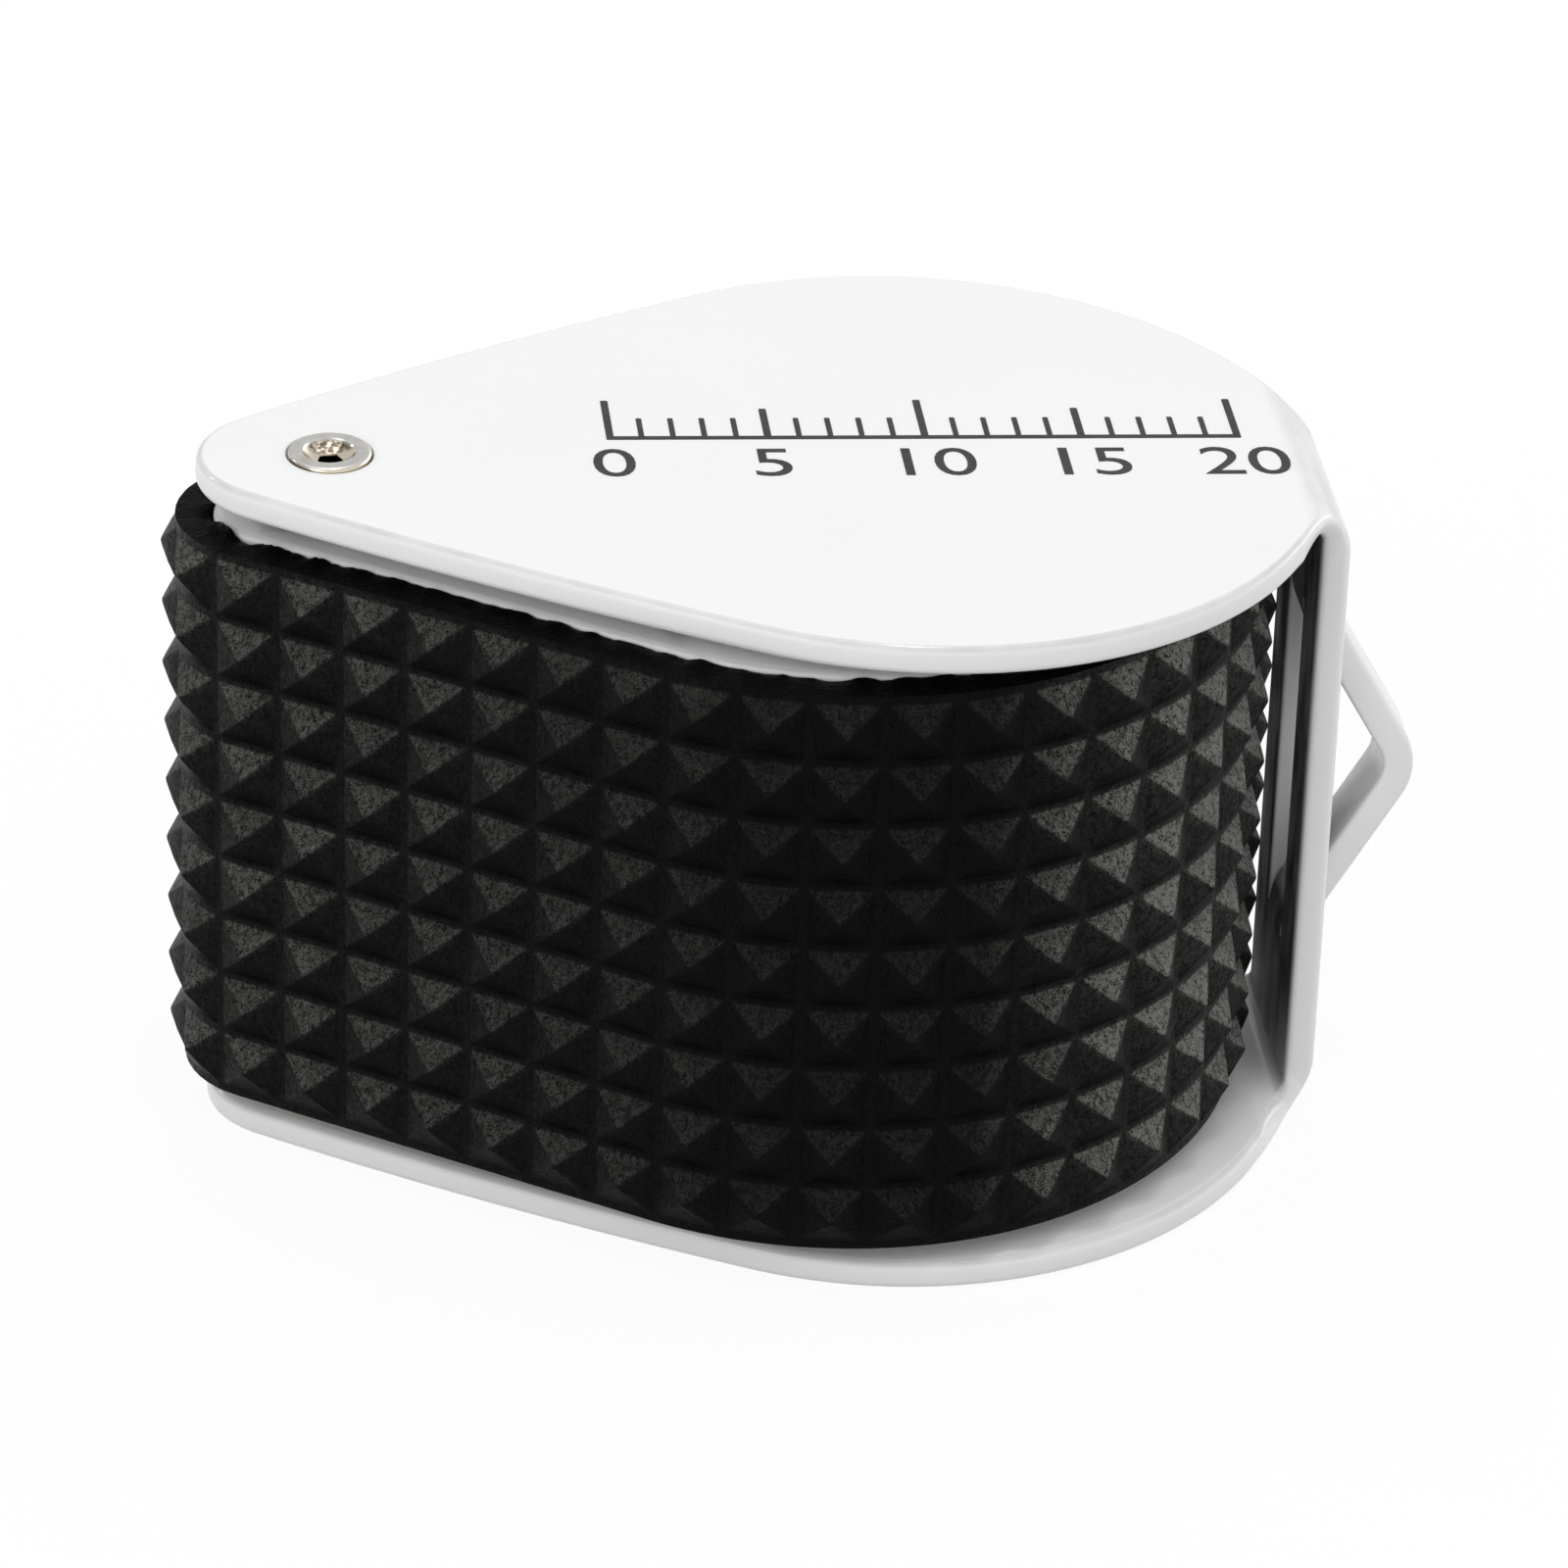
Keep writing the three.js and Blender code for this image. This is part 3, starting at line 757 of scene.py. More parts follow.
def bent(u, y, depth):
    """Where a point of the flat strip goes. Depth is measured from the outer face."""
    side = 1 if u >= 0 else -1
    far = abs(u) - web_half
    if far <= 0:
        stand, tilt = loop_face(u) if abs(y) < strip_half + slit_wide / 2 else (0.0, 0.0)
        x = web_outer_x + stand - depth * math.cos(tilt)
        return x, y, cover_height / 2 + u - depth * math.sin(tilt)
    full_turn = math.pi / 2 - (splay if side > 0 else 0.0)
    turn = min(far / bend_outside, full_turn)
    rest = far - bend_outside * turn
    outer = Vector((math.cos(turn), math.sin(turn))) * bend_outside
    inner = Vector(inner_face(turn / full_turn, full_turn))
    place = outer.lerp(inner, depth / sheet_thick)
    x = bend_x + place.x - rest * math.sin(turn)
    z = web_half + place.y + rest * math.cos(turn)
    return x, y, cover_height / 2 + side * z


def slit(side):
    near, far = side * strip_half, side * (strip_half + slit_wide)
    low, high = loop_rise - loop_half, loop_rise + loop_half
    return [(low, near), (high, near), (high, far), (low, far)]


sink_step = sink_radius - hole_radius
sunk_rim = [(sink_step + 0.3, 0.0), (sink_step + 0.05, 0.0), (sink_step + 0.012, 0.015),
            (sink_step, 0.05), (sink_step, 0.1), (0.0, sink_depth),
            (0.0, sheet_thick - 0.06), (0.02, sheet_thick - 0.02), (0.07, sheet_thick)]
sheet = plate([
    (outline, round_rim(sheet_thick, cover_edge)),
    (circle(flat_place(rivet_x, splay), 0, hole_radius, hole_steps), sunk_rim),
    (circle(-flat_place(rivet_x, 0.0), 0, hole_radius, hole_steps), sunk_rim),
    (slit(1), round_rim(sheet_thick, slit_edge, 3)),
    (slit(-1), round_rim(sheet_thick, slit_edge, 3)),
])
cuts = [web_half + bend_outside * math.pi / 2 * i / fold_steps for i in range(fold_steps + 1)]
cuts += [-u for u in cuts]
cuts += [loop_rise - loop_half + 2 * loop_half * i / loop_steps for i in range(loop_steps + 1)]
for u in cuts:
    bmesh.ops.bisect_plane(sheet, geom=sheet.verts[:] + sheet.edges[:] + sheet.faces[:],
                           dist=snap_reach, plane_co=(u, 0, 0), plane_no=(1, 0, 0))
for vertex in sheet.verts:
    vertex.co = bent(*vertex.co)
dress("cover_sheet", sheet, "cover", "cover", "white_paint", white_paint, crease=50)
print("the loop slopes at", round(math.degrees(slope), 1), "degrees")

# %% [markdown]
# ## The housing
# The body is a teardrop block of the same white paint. The rubber hides its sides, and
# only its ends show, with a thin white line all round between the rubber and the cheeks.
# It is cut as a thick plate with two holes: a stepped bore whose lip carries the barrel,
# and a small one for the pivot's sleeve.

# %% Housing
housing_bore, lip_bore, lip_thick = 10.2, 9.5, 0.7
housing_edge = 0.22
pivot_bore, pivot_edge = 1.7, 0.1
body_steps, body_tip_steps = 120, 40


def teardrop():
    """The housing's outline: a large arc and a small one, joined by straight sides."""
    lean = math.acos((housing_tip_radius - housing_radius) / -housing_tip_x)
    points = arc(0, 0, housing_radius, -lean, lean, body_steps)
    return points + arc(housing_tip_x, 0, housing_tip_radius, lean, 2 * math.pi - lean,
                        body_tip_steps)


housing_thick = housing_high - housing_low
step = housing_bore - lip_bore
bore_rim = [(0.12, 0.0), (0.03, 0.03), (0.0, 0.12), (0.0, lip_thick), (step, lip_thick),
            (step, housing_thick - 0.2), (step + 0.03, housing_thick - 0.08),
            (step + 0.15, housing_thick)]
block = plate([
    (teardrop(), round_rim(housing_thick, housing_edge)),
    (circle(0, 0, lip_bore, body_steps), bore_rim),
    (circle(rivet_x, 0, pivot_bore, hole_steps), round_rim(housing_thick, pivot_edge, 2)),
])
bmesh.ops.translate(block, vec=(0, 0, housing_low), verts=block.verts)
dress("housing_block", block, "lens_body", "loupe_housing", "white_paint", white_paint)

# %% [markdown]
# ## Black rubber
# The grip is a moulded strip. Its skin is nearly black and has a fine leathery grain. Every
# face that looks up, and every face that looks towards the tip, is painted lighter in the
# grain: this is painted light, with some dust in it. It is strongest round the lens end and
# the tip; the flat sides stay dark, and the flat cut edges too. One could rely on the lamps
# alone for the difference between the faces, but black rubber gives back so little that
# they would all look alike. So this painted light is a colour of its own: it is spread by
# how far a face looks up, by the place on the strip and by the grain.

# %% Rubber
black_rubber, tree, shader = new_finish("black_rubber", IOR=1.5, Specular_IOR_Level=0.035)
wrinkle = blotches(tree, 0.16, detail=2, roughness=0.55, stretch=(1, 1, 0.75), distort=0.6)
grit = blotches(tree, 0.055, detail=2, roughness=0.6)
tilt = spread(tree, facing(tree, 2), 0, 1, start=-0.28, end=0.45)
looks_to_tip = spread(tree, facing(tree, 0), 0.42, 0, start=-0.92, end=-0.60)
slanted = reckon(tree, "MAXIMUM", reckon(tree, "POWER", tilt, 2.2), looks_to_tip)
flat_top = spread(tree, facing(tree, 2), 1, 0, start=0.6, end=0.85)
at_lens_end = spread(tree, placed(tree, 0), 0, 1, start=2.5 * MM, end=9.0 * MM)
at_tip = spread(tree, placed(tree, 0), 0.40, 0.07, start=-20.5 * MM, end=-4.0 * MM)
lighter_ends = reckon(tree, "MAXIMUM", at_tip, at_lens_end)
uneven = spread(tree, blotches(tree, 3.0, detail=2), 0.75, 1.2)
grain = reckon(tree, "ADD", spread(tree, wrinkle, 0.25, 1.0, start=0.38, end=0.62),
               spread(tree, grit, -0.45, 0.8, start=0.35, end=0.68))
# Painted light, with some dust: faces that look up or towards the tip are painted lighter, most of
# all at the ends of the strip.
painted_light_and_dust = product(tree, slanted, flat_top, lighter_ends, uneven, grain)
wire(tree, two_colours(tree, painted_light_and_dust, (0.0020, 0.0020, 0.0019), (0.190, 0.184, 0.172)),
     shader.inputs["Base Color"])
wire(tree, spread(tree, blotches(tree, 0.5), 0.30, 0.48), shader.inputs["Roughness"])
relief(tree, shader, [(wrinkle, 0.10), (grit, 0.03)])
print("rubber nodes", len(tree.nodes))

# %% [markdown]
# ## The rubber strip
# The strip is laid round the housing with its nine rows of square studs facing out. Each
# stud is a low pyramid with a narrow flat land round it. One could model one stud and
# repeat it, but the strip bends tightly round the tip, where the lands fan out. So each
# corner is placed by its distance along the strip and its height above it, and is carried
# round the outline from there. The ridges are rounded: every ring of a pyramid
# has its corners pulled in a little, which gives even strips of faces and a soft glint.

# %% Place on the strip
strip_thick = 1.2
strip_low, strip_high = 1.72, 21.48
start_shift = 0.27
big, small = housing_radius + strip_thick, housing_tip_radius + strip_thick
lean = math.acos((small - big) / -housing_tip_x)
side_length = math.sqrt(housing_tip_x ** 2 - (big - small) ** 2)
girth = 2 * big * lean + 2 * side_length + 2 * small * (math.pi - lean)


def on_strip(distance, height, lift=0.0):
    """A point on the wrapped strip, this far along it, up it and off its face."""
    s = (distance + start_shift) % girth
    if s < 2 * big * lean:
        angle, x, y, radius = -lean + s / big, 0.0, 0.0, big
    elif s < 2 * big * lean + side_length:
        angle, radius = lean, big
        back = s - 2 * big * lean
        x, y = -back * math.sin(lean), back * math.cos(lean)
    elif s < girth - side_length:
        angle = lean + (s - 2 * big * lean - side_length) / small
        x, y, radius = housing_tip_x, 0.0, small
    else:
        angle, radius = -lean, small
        back = s - girth + side_length
        x, y = housing_tip_x + back * math.sin(lean), back * math.cos(lean)
    return (x + (radius + lift) * math.cos(angle), y + (radius + lift) * math.sin(angle), height)


print("girth of the strip", round(girth, 2), "mm, height", round(strip_high - strip_low, 2))

# %% Studs of the strip
stud_rows, stud_columns = 9, 41
stud_pitch_up, stud_pitch_round = 2.16, girth / stud_columns
strip_edge, land = 0.16, 0.2
stud_height, stud_uneven, peak_shift = 0.55, 0.07, 0.03
stud_wide, stud_tall = stud_pitch_round - land, stud_pitch_up - land
ridge = 0.07
grid_lines = 7
# How large each ring of a pyramid is, and how far up. The last share is the peak's.
stud_rings = ((0.965, 0.014), (0.92, 0.072), (0.5, 0.5), (0.13, 0.87), (0.05, 0.94))
peak_share = 0.962


def grid_stops(length):
    """Where the seven grid lines of one stud lie across it."""
    return [0.0, ridge, 0.28 * length, 0.5 * length, 0.72 * length, length - ridge, length]


def ring_stops(half, cut, pull):
    """Where six corners lie along one side of a ring, whose own corners are pulled in."""
    return [-half + pull, -half + cut, -0.44 * half, 0.0, 0.44 * half, half - cut]


along = [column * stud_pitch_round + land / 2 + s
         for column in range(stud_columns) for s in grid_stops(stud_wide)]
up = [strip_low + strip_edge + row * stud_pitch_up + land / 2 + s
      for row in range(stud_rows) for s in grid_stops(stud_tall)]
up = [strip_low, *up, strip_high]
across = len(along)
dice = random.Random(18)
shape = bmesh.new()
grid = [[shape.verts.new(on_strip(s, h)) for s in along] for h in up]


def stud(column, row):
    """Raises one pyramid from the square of grid points that it stands on."""
    left, low = column * grid_lines, 1 + row * grid_lines
    right, high = left + grid_lines - 1, low + grid_lines - 1
    side = range(grid_lines - 1)
    border = [grid[low][left + i] for i in side] + [grid[low + i][right] for i in side]
    border += [grid[high][right - i] for i in side] + [grid[high - i][left] for i in side]
    middle_s, middle_h = along[left] + stud_wide / 2, up[low] + stud_tall / 2
    tall = stud_height * (1 - stud_uneven * dice.random())
    lean_s, lean_h = (dice.uniform(-peak_shift, peak_shift) for _ in range(2))
    for size, share in stud_rings:
        half_s, half_h = size * stud_wide / 2, size * stud_tall / 2
        cut = min(ridge, 0.35 * half_s)
        pull = 0.3 * cut
        stops = list(zip(ring_stops(half_s, cut, pull), ring_stops(half_h, cut, pull)))
        ring = []
        for turn in range(4):
            for i, (a, b) in enumerate(stops):
                inset = 0 if i else pull
                s, h = ((a, inset - half_h), (half_s - inset, b), (-a, half_h - inset),
                        (inset - half_s, -b))[turn]
                ring.append(shape.verts.new(on_strip(
                    middle_s + s + lean_s * share, middle_h + h + lean_h * share, tall * share)))
        band(shape, border, ring)
        border = ring
    peak = shape.verts.new(on_strip(middle_s + lean_s, middle_h + lean_h, tall * peak_share))
    for i, corner in enumerate(border):
        shape.faces.new((corner, border[(i + 1) % len(border)], peak))


for level in range(len(up) - 1):
    low, high = grid[level], grid[level + 1]
    on_stud_row = 0 < level < len(up) - 2 and level % grid_lines
    for i in range(across):
        j = (i + 1) % across
        if not (on_stud_row and (i + 1) % grid_lines):
            shape.faces.new((low[i], low[j], high[j], high[i]))
for column in range(stud_columns):
    for row in range(stud_rows):
        stud(column, row)
print("studs", stud_columns * stud_rows, "pitch round", round(stud_pitch_round, 3))

# %% [markdown]
# ## The cut edges of the strip
# The strip was cut with a blade along its two long edges. The cut face is flat and dull at
# the outside, but towards the housing it ends in an uneven lip where glue and rubber have
# crept up, and the white paint peeps out beside it. A clean ring would look like plastic.
# So the cut face is given a few rings whose height wanders more and more inwards.

# %% Cut faces and inside of the strip
glue = 0.1
fine_steps = 4
# How deep each ring of the cut face lies, and its share of the lip's height.
cut_rings = ((0.12, 0.05), (0.4, 0.12), (0.7, 0.3), (0.9, 0.7), (strip_thick - glue, 1.0))
fine_along = []
for i, s in enumerate(along):
    gap = (along[(i + 1) % across] - s) % girth
    fine_along += [s + gap * k / fine_steps for k in range(fine_steps)]
count = len(fine_along)


def creep(x, y, way):
    """How far the lip stands up beside the housing. It wanders most round the tip."""
    slow, quick, torn = (noise.noise(Vector((x * size, y * size, seed * way)))
                         for size, seed in ((0.5, 3.0), (1.3, 7.0), (4.6, 11.0)))
    wild = 1 + 1.2 * max(0.0, min(1.0, (-14.0 - x) / 4.0))
    return 0.01 + wild * (0.06 * slow + 0.13 * quick + 0.04 * torn)


def cut_face(edge, height, way):
    rings = []
    for depth, share in cut_rings:
        places = [on_strip(s, height, -depth)[:2] for s in fine_along]
        rings.append([shape.verts.new((x, y, height + way * share * creep(x, y, way)))
                      for x, y in places])
    for i in range(across):
        inner = [rings[0][(i * fine_steps + k) % count] for k in range(fine_steps, -1, -1)]
        shape.faces.new([edge[i], edge[(i + 1) % across]] + inner)
    for outer, inner in zip(rings, rings[1:]):
        band(shape, outer, inner)
    return rings[-1]


upper_lip = cut_face(grid[-1], strip_high, 1)
band(shape, cut_face(grid[0], strip_low, -1), upper_lip)
dress("rubber_strip", shape, "lens_body", "rubber_grip", "black_rubber", black_rubber, crease=70)

# %% [markdown]
# ## Nickel and the hollow rivet
# A tubular rivet is put through all the holes and its ends are spread over a punch. The
# thin wall can't stretch that far, so it creases, and the funnel of the mouth ends in a
# few flats round a small dark hole, inside a smooth rolled rim. The plating is bright with
# a warm tint. In the funnel it is cracked and pitted. The flat that looks left and forward
# is painted dark brown, and the inside of the hole near black: both are painted shade. The
# rivet is turned like a ring, but its radius in the funnel follows a polygon, which gives
# the flats. Drawing five flat pieces would leave seams at the rim.

# %% Nickel
rivet_shank, rivet_flare, rivet_bore = 0.95, 1.32, 0.5
rivet_mouth, rivet_hole = 0.85, 0.40
head_proud = 0.12
mouth_folds, fold_start = 5, 1.05
rivet_head = rivet_top + head_proud


def below_head(tree, start, end):
    """One from the first depth under the rivet's top downwards, none above the second."""
    return spread(tree, placed(tree, 2), 1, 0,
                  start=(rivet_head - start) * MM, end=(rivet_head - end) * MM)


nickel, tree, shader = new_finish("nickel_plate", Metallic=1.0)
bright = two_colours(tree, spread(tree, blotches(tree, 0.5), 0, 1),
                     (0.70, 0.675, 0.64), (0.84, 0.82, 0.79))
in_mouth = below_head(tree, 0.1, 0.02)
warm = two_colours(tree, in_mouth, bright, (0.80, 0.72, 0.58))
pitted = spread(tree, blotches(tree, 0.14, roughness=0.7), 0, 1, start=0.42, end=0.56)
far_side = spread(tree, placed(tree, 1), 0, 1, start=0.22 * MM, end=0.42 * MM)
worn = product(tree, pitted, far_side, in_mouth)
# Painted shade: the funnel's flat that looks left and forward is painted dark brown, the same
# colour as the pits.
left_looking = spread(tree, facing(tree, 0), 1, 0, start=-0.50, end=-0.38)
front_looking = spread(tree, facing(tree, 1), 1, 0, start=-0.30, end=-0.18)
painted_facet_shade = product(tree, left_looking, front_looking, in_mouth, 0.85)
pitted_and_shaded = two_colours(tree, reckon(tree, "MAXIMUM", worn, painted_facet_shade), warm, (0.15, 0.115, 0.08))
# Painted shade: the inside of the hole, except near its lower end, is painted near black.
above_foot = spread(tree, placed(tree, 2), 0, 1, start=0.25 * MM, end=0.32 * MM)
painted_bore_shade = product(tree, below_head(tree, 0.40, 0.33), above_foot)
wire(tree, two_colours(tree, painted_bore_shade, pitted_and_shaded, (0.020, 0.016, 0.010)), shader.inputs["Base Color"])
wire(tree, spread(tree, blotches(tree, 0.35, detail=4), 0.08, 0.20), shader.inputs["Roughness"])
relief(tree, shader, [(blotches(tree, 0.25), 0.008)])
print("nickel nodes", len(tree.nodes))

# %% Rivet
def flats(angle, count, start):
    """The radius of a polygon with this many sides inside a circle of one."""
    part = 2 * math.pi / count
    off = (angle - start) % part - part / 2
    return math.cos(part / 2) / math.cos(off)


def rivet_profile(angle):
    """The rivet's wall from its lower end up the outside and back down the hole."""
    crimp = flats(angle, mouth_folds, fold_start)
    funnel = (rivet_mouth + rivet_hole) / 2 * (0.4 + 0.6 * crimp) + 0.02
    lower_rim = [(rivet_mouth + 0.05, 0.0), (rivet_flare - 0.06, 0.0), (rivet_flare - 0.012, 0.02),
                 (rivet_flare, 0.06), (rivet_flare - 0.01, 0.1), (rivet_shank, 0.5)]
    rim = [(rivet_shank, -0.5), (rivet_flare - 0.01, -0.1), (rivet_flare, -0.03),
           (rivet_flare - 0.012, 0.04), (rivet_flare - 0.05, 0.088), (rivet_flare - 0.11, 0.115),
           (rivet_flare - 0.18, head_proud), (rivet_mouth + 0.07, head_proud)]
    mouth = [(rivet_mouth, 0.01), (rivet_mouth - 0.02, 0.05), (funnel, 0.22),
             ((rivet_hole + 0.03) * crimp, 0.32), (rivet_hole * crimp, 0.37),
             (rivet_hole * crimp, 0.75), (rivet_bore * 0.96, 1.4)]
    lower_mouth = [(rivet_bore * 0.96, 1.3), (rivet_hole * crimp, 0.7),
                   ((rivet_hole + 0.03) * crimp, 0.32), (rivet_mouth - 0.035, 0.03),
                   (rivet_mouth, 0.01)]
    return (lower_rim + [(r, rivet_top + z) for r, z in rim]
            + [(r, rivet_head - depth) for r, depth in mouth] + lower_mouth)


dress("hollow_rivet", lathe(rivet_profile, rivet_x, 120), "cover", "pivot_rivet", "nickel_plate",
      nickel, crease=32)

# %% [markdown]
# ## Washers and the sleeve
# The rivet must hold the cheeks without clamping the body. A brass washer below and a
# spring washer above, bent into three waves, keep a light and even friction, and a brass
# sleeve in the housing gives the rivet a smooth bearing. None of them shows much, but the
# gap under the upper cheek is open, so they are made with the marks of their making.

# %% Brass and spring steel
brass, tree, shader = mottled(
    "brass", 1.2, (0.66, 0.50, 0.24), (0.76, 0.60, 0.31), 0.6, 0.26, 0.42, Metallic=1.0)
relief(tree, shader, [(tool_rings(tree, rivet_x, 0.12), 0.003)])
spring_steel, tree, shader = mottled(
    "spring_steel", 0.9, (0.50, 0.51, 0.52), (0.62, 0.63, 0.65), 0.5, 0.22, 0.38, Metallic=1.0)
relief(tree, shader, [(blotches(tree, 0.16, detail=2, stretch=(0.2, 1, 1)), 0.003)])
print("brass and spring steel ready")

# %% Washers and sleeve
washer_bore, washer_radius, washer_top = 1.0, 2.6, 1.5
sleeve_bore, sleeve_radius, sleeve_gap = 1.05, 1.6, 0.05
wave_middle = (housing_high + rivet_top - sheet_thick) / 2
wave_half_thick, wave_height, waves = 0.125, 0.18, 3


def tube(bore, radius, low, high, edge=0.06):
    return soft_corners([(bore, low), (radius, low), (radius, high), (bore, high)], edge)


def wave_profile(angle):
    shift = wave_middle + wave_height * math.cos(waves * angle)
    return [(r, z + shift) for r, z in tube(washer_bore, washer_radius,
                                            -wave_half_thick, wave_half_thick, 0.05)]


flat_profile = tube(washer_bore, washer_radius, sheet_thick, washer_top)
sleeve_profile = tube(sleeve_bore, sleeve_radius, washer_top + sleeve_gap,
                      housing_high - sleeve_gap)
dress("flat_washer", lathe(flat_profile, rivet_x), "cover", "lower_washer", "brass", brass)
dress("wave_spring", lathe(wave_profile, rivet_x), "cover", "wave_washer", "spring_steel",
      spring_steel)
dress("bearing_sleeve", lathe(sleeve_profile, rivet_x), "lens_body", "pivot_sleeve", "brass", brass)

# %% [markdown]
# ## Barrel, spacers and retaining rings
# The barrel is a plain turned tube, blackened so that stray light dies in it. The spacers
# press on the rims of the glass and the rings hold them down, each with two notches for a
# pin spanner. Fine turning rings in the black keep it from looking like paint. The
# notched ring could be cut with a boolean, but it is easier to let the lathe lower the
# top of the profile wherever a notch passes.

# %% Blackened metal
black_anodised, tree, shader = mottled(
    "black_anodised", 2.0, (0.014, 0.014, 0.016), (0.026, 0.026, 0.029), 0.5, 0.34, 0.50,
    details=(3, 3), Metallic=0.35)
relief(tree, shader, [(tool_rings(tree, 0, 0.16), 0.006)])
print("blackened metal nodes", len(tree.nodes))

# %% Barrel, spacers and rings
glass_radius = 9.0
barrel_bore, barrel_radius, barrel_half = 9.1, 10.1, 9.2
spacer_bore, spacer_foot, spacer_end = 8.3, 3.895, 7.85
ring_bore, ring_foot, ring_end = 8.2, 7.9, 8.9
notch_wide, notch_depth = 1.4, 0.5


def stacked(shape, way):
    """Moves a piece drawn about the lens's middle into place, upright or turned over."""
    for vertex in shape.verts:
        vertex.co.z = body_middle + way * vertex.co.z
        vertex.co.y *= way
    return shape


def ring_profile(angle):
    end = ring_end - (notch_depth if abs(math.sin(angle)) * glass_radius < notch_wide / 2 else 0.0)
    return soft_corners([(ring_bore, ring_foot), (glass_radius, ring_foot), (glass_radius, end),
                         (ring_bore, end)], 0.07)


half_notch = math.asin(notch_wide / 2 / glass_radius)
ring_turns, nudge = 112, 0.0006
ring_angles = [2 * math.pi * i / ring_turns for i in range(ring_turns)]
ring_angles += [way + side * (half_notch + off) for way in (0.0, math.pi)
                for side in (-1, 1) for off in (-nudge, nudge)]
ring_angles = sorted(a % (2 * math.pi) for a in ring_angles)
barrel_profile = tube(barrel_bore, barrel_radius, -barrel_half, barrel_half, 0.15)
spacer_profile = tube(spacer_bore, glass_radius, spacer_foot, spacer_end, 0.1)
for name, node, profile, turns, way in (
        ("barrel_tube", "lens_barrel", barrel_profile, 128, 1),
        ("upper_spacer", "upper_spacer_tube", spacer_profile, 128, 1),
        ("upper_ring", "upper_retaining_ring", ring_profile, ring_angles, 1),
        ("lower_spacer", "lower_spacer_tube", spacer_profile, 128, -1),
        ("lower_ring", "lower_retaining_ring", ring_profile, ring_angles, -1)):
    dress(name, stacked(lathe(profile, turns=turns), way), "lens_body", node, "black_anodised",
          black_anodised)

# %% [markdown]
# ## The triplet lens
# Three glasses are cemented into one: a thick crown between two thin flints. Light bends
# only where glass meets air, so the two outer faces get real glass, and the cemented
# faces let the light straight through, as clear cement does. If each glass were given its
# own gap of air, the picture in the lens would break up into rings. The outer faces have
# a thin coating with a faint purple sheen, and the rims are ground and matt.

# %% Glass
crown_curve, flint_curve = 16.0, 22.0
crown_half_edge, cement, flint_centre = 1.05, 0.05, 1.6
face_rings, sliver = 24, 0.0001


def glass_finish(name, ior):
    return mottled(name, 5.0, (0.975, 0.985, 0.98), (0.99, 0.995, 0.99), 0.4, 0.0, 0.02,
                   span=(0.45, 0.8), Transmission_Weight=1.0, IOR=ior)


coated_glass, tree, shader = glass_finish("optical_glass", 1.60)
shader.inputs["Thin Film Thickness"].default_value = 110.0
shader.inputs["Thin Film IOR"].default_value = 1.38
cemented_face, tree, shader = glass_finish("cemented_face", 1.0)
ground_rim, tree, shader = mottled(
    "ground_rim", 0.3, (0.30, 0.31, 0.31), (0.42, 0.43, 0.43), 0.2, 0.55, 0.75, IOR=1.5)
relief(tree, shader, [(blotches(tree, 0.08, detail=2), 0.004)])


def drop(curve, radius):
    """How far a curved face has fallen from its centre at a radius."""
    return curve - math.sqrt(curve ** 2 - radius ** 2)


crown_centre = crown_half_edge + drop(crown_curve, glass_radius)
flint_outside = crown_centre + cement + flint_centre
steps = [glass_radius * i / face_rings for i in range(face_rings + 1)]
crown_top = [(r, crown_centre - drop(crown_curve, r)) for r in steps]
crown_low = [(r, -z) for r, z in crown_top]
flint_back = [(r, z + cement) for r, z in crown_top]
flint_front = [(r, flint_outside - drop(flint_curve, r)) for r in steps]


def glass_mesh(name, front, back, way):
    """A glass turned from its two faces. The material follows from where a face looks."""
    shape = stacked(lathe(front + back[::-1], turns=96, closed=False), way)
    bmesh.ops.dissolve_degenerate(shape, edges=shape.edges, dist=sliver)
    mesh = finished_mesh(name, shape)
    rim_radius = (glass_radius - 0.05) * MM
    for face in mesh.polygons:
        far = min(math.hypot(*mesh.vertices[i].co.xy) for i in face.vertices)
        if far > rim_radius:
            face.material_index = 2
        elif name == "crown_glass" or (face.normal.z > 0) != (way > 0):
            face.material_index = 1
    return mesh


for name, node, front, back, way in (
        ("crown_glass", "crown_lens", crown_top, crown_low, 1),
        ("upper_flint_glass", "upper_flint_lens", flint_front, flint_back, 1),
        ("lower_flint_glass", "lower_flint_lens", flint_front, flint_back, -1)):
    dress(name, glass_mesh(name, front, back, way), "lens_body", node, "optical_glass",
          coated_glass, cemented_face, ground_rim)

# %% [markdown]
# ## A printed scale
# The upper cheek has room for print. A plain millimetre scale is put there, which is of
# use on a loupe, in a dark grey ink. Print could be painted into the material, but thin
# pieces of mesh give sharp edges at any distance, and screen-printed ink really does
# stand a few micrometres above the paint.

# %% Ink
ink, tree, shader = mottled(
    "printing_ink", 0.3, (0.018, 0.018, 0.019), (0.034, 0.034, 0.035), 0.5, 0.35, 0.5,
    details=(4, 3), IOR=1.5, Specular_IOR_Level=0.4)
relief(tree, shader, [(blotches(tree, 0.12), 0.003)])


def on_cheek(x, y, lift):
    """A point this far above the upper cheek's outer face."""
    return (x + lift * math.sin(splay), y, cover_height + rise(x) + lift * math.cos(splay))


print("ink on the cheek at", [round(v, 3) for v in on_cheek(0, 0, 0.01)])

# %% Scale
scale_start, scale_length, scale_y = -7.6, 20, 1.1
ink_thick = 0.012
line_thick, line_overlap = 0.24, 0.02
tick_sizes = ((10, 0.24, 2.5), (5, 0.24, 1.9), (1, 0.18, 1.25))
shape = bmesh.new()


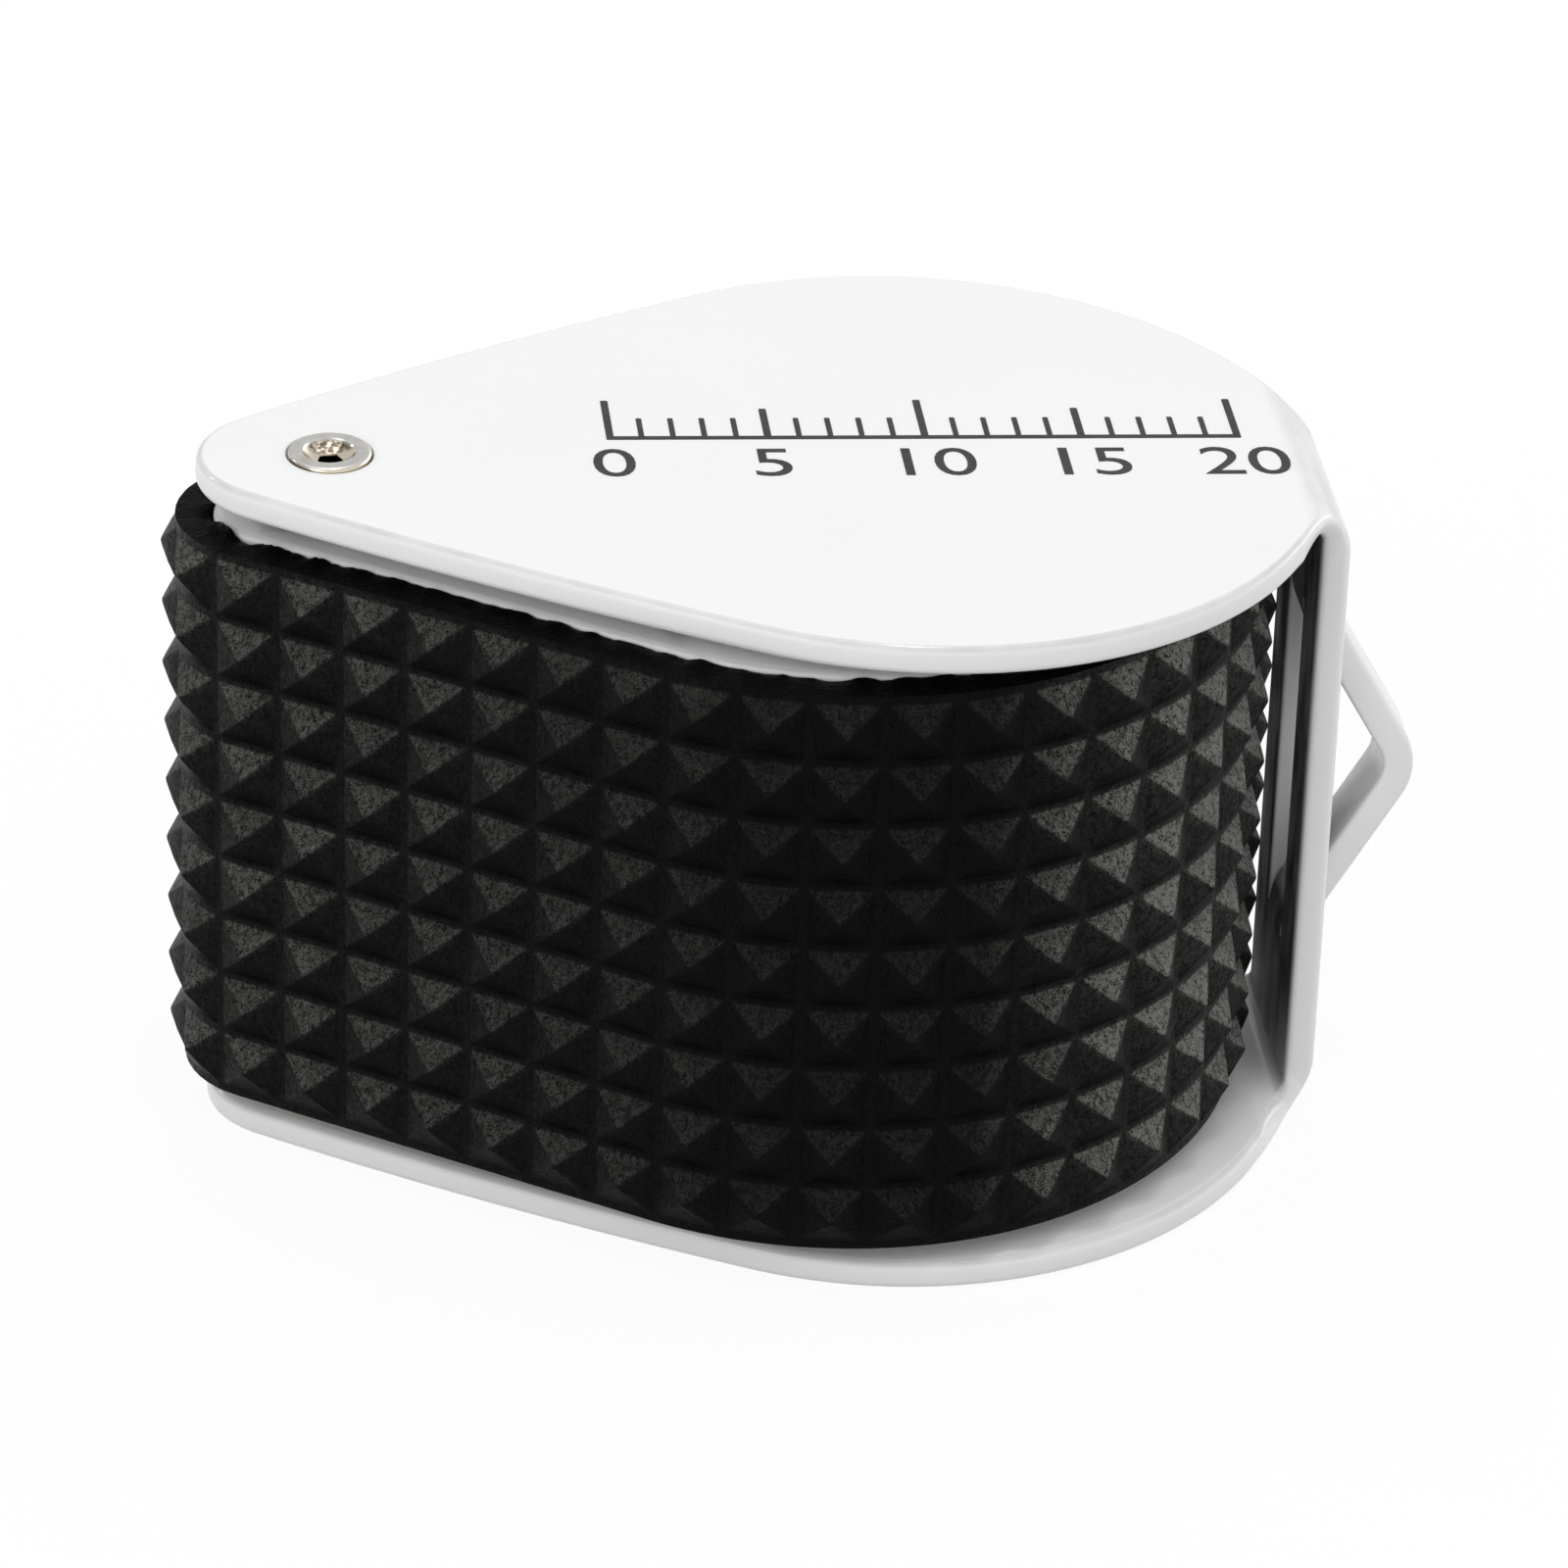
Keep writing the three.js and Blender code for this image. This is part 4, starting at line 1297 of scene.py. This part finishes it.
def ink_bar(left, right, low, high):
    """A flat bar of ink with slightly rounded ends."""
    loop = soft_corners([(left, low), (right, low), (right, high), (left, high)], 0.06)
    top = [shape.verts.new(on_cheek(x, y, ink_thick)) for x, y in loop]
    foot = [shape.verts.new(on_cheek(x, y, 0.0)) for x, y in loop]
    shape.faces.new(top)
    band(shape, foot, top)


ink_bar(scale_start - line_thick / 2, scale_start + scale_length + line_thick / 2,
        scale_y - line_thick, scale_y)
for i in range(scale_length + 1):
    wide, tall = next(size for every, *size in tick_sizes if i % every == 0)
    ink_bar(scale_start + i - wide / 2, scale_start + i + wide / 2,
            scale_y - line_overlap, scale_y + tall)
dress("scale_lines", shape, "cover", None, None, ink)

# %% Numerals
numeral_tall, numeral_stretch, numeral_drop = 2.7, 1.12, 2.75
shape = bmesh.new()
for value in range(0, scale_length + 1, 5):
    face = bpy.data.curves.new("numeral", "FONT")
    face.body = str(value)
    face.size = numeral_tall
    face.align_x = "CENTER"
    face.resolution_u = 5
    drawn = bpy.data.objects.new("numeral", face)
    scene.collection.objects.link(drawn)
    bpy.context.view_layer.update()
    ready = drawn.evaluated_get(bpy.context.evaluated_depsgraph_get())
    flat = bpy.data.meshes.new_from_object(ready)
    for vertex in flat.vertices:
        x = scale_start + value + vertex.co.x * numeral_stretch
        vertex.co = on_cheek(x, scale_y - numeral_drop + vertex.co.y, ink_thick)
    shape.from_mesh(flat)
    bpy.data.objects.remove(drawn)
    bpy.data.curves.remove(face)
    bpy.data.meshes.remove(flat)
outer_edges = [e for e in shape.edges if e.is_boundary]
sides = bmesh.ops.extrude_edge_only(shape, edges=outer_edges)["geom"]
for vertex in (v for v in sides if isinstance(v, bmesh.types.BMVert)):
    vertex.co.z -= ink_thick
dress("scale_numerals", shape, "cover", None, None, ink)

# %% [markdown]
# ## Measuring the result
# The dressed loupe has to keep the size of the engineering model. So its box is measured
# and printed.

# %% Size and finish
low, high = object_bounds()
print("dressed size in millimetres", [round((b - a) / MM, 2) for a, b in zip(low, high)])
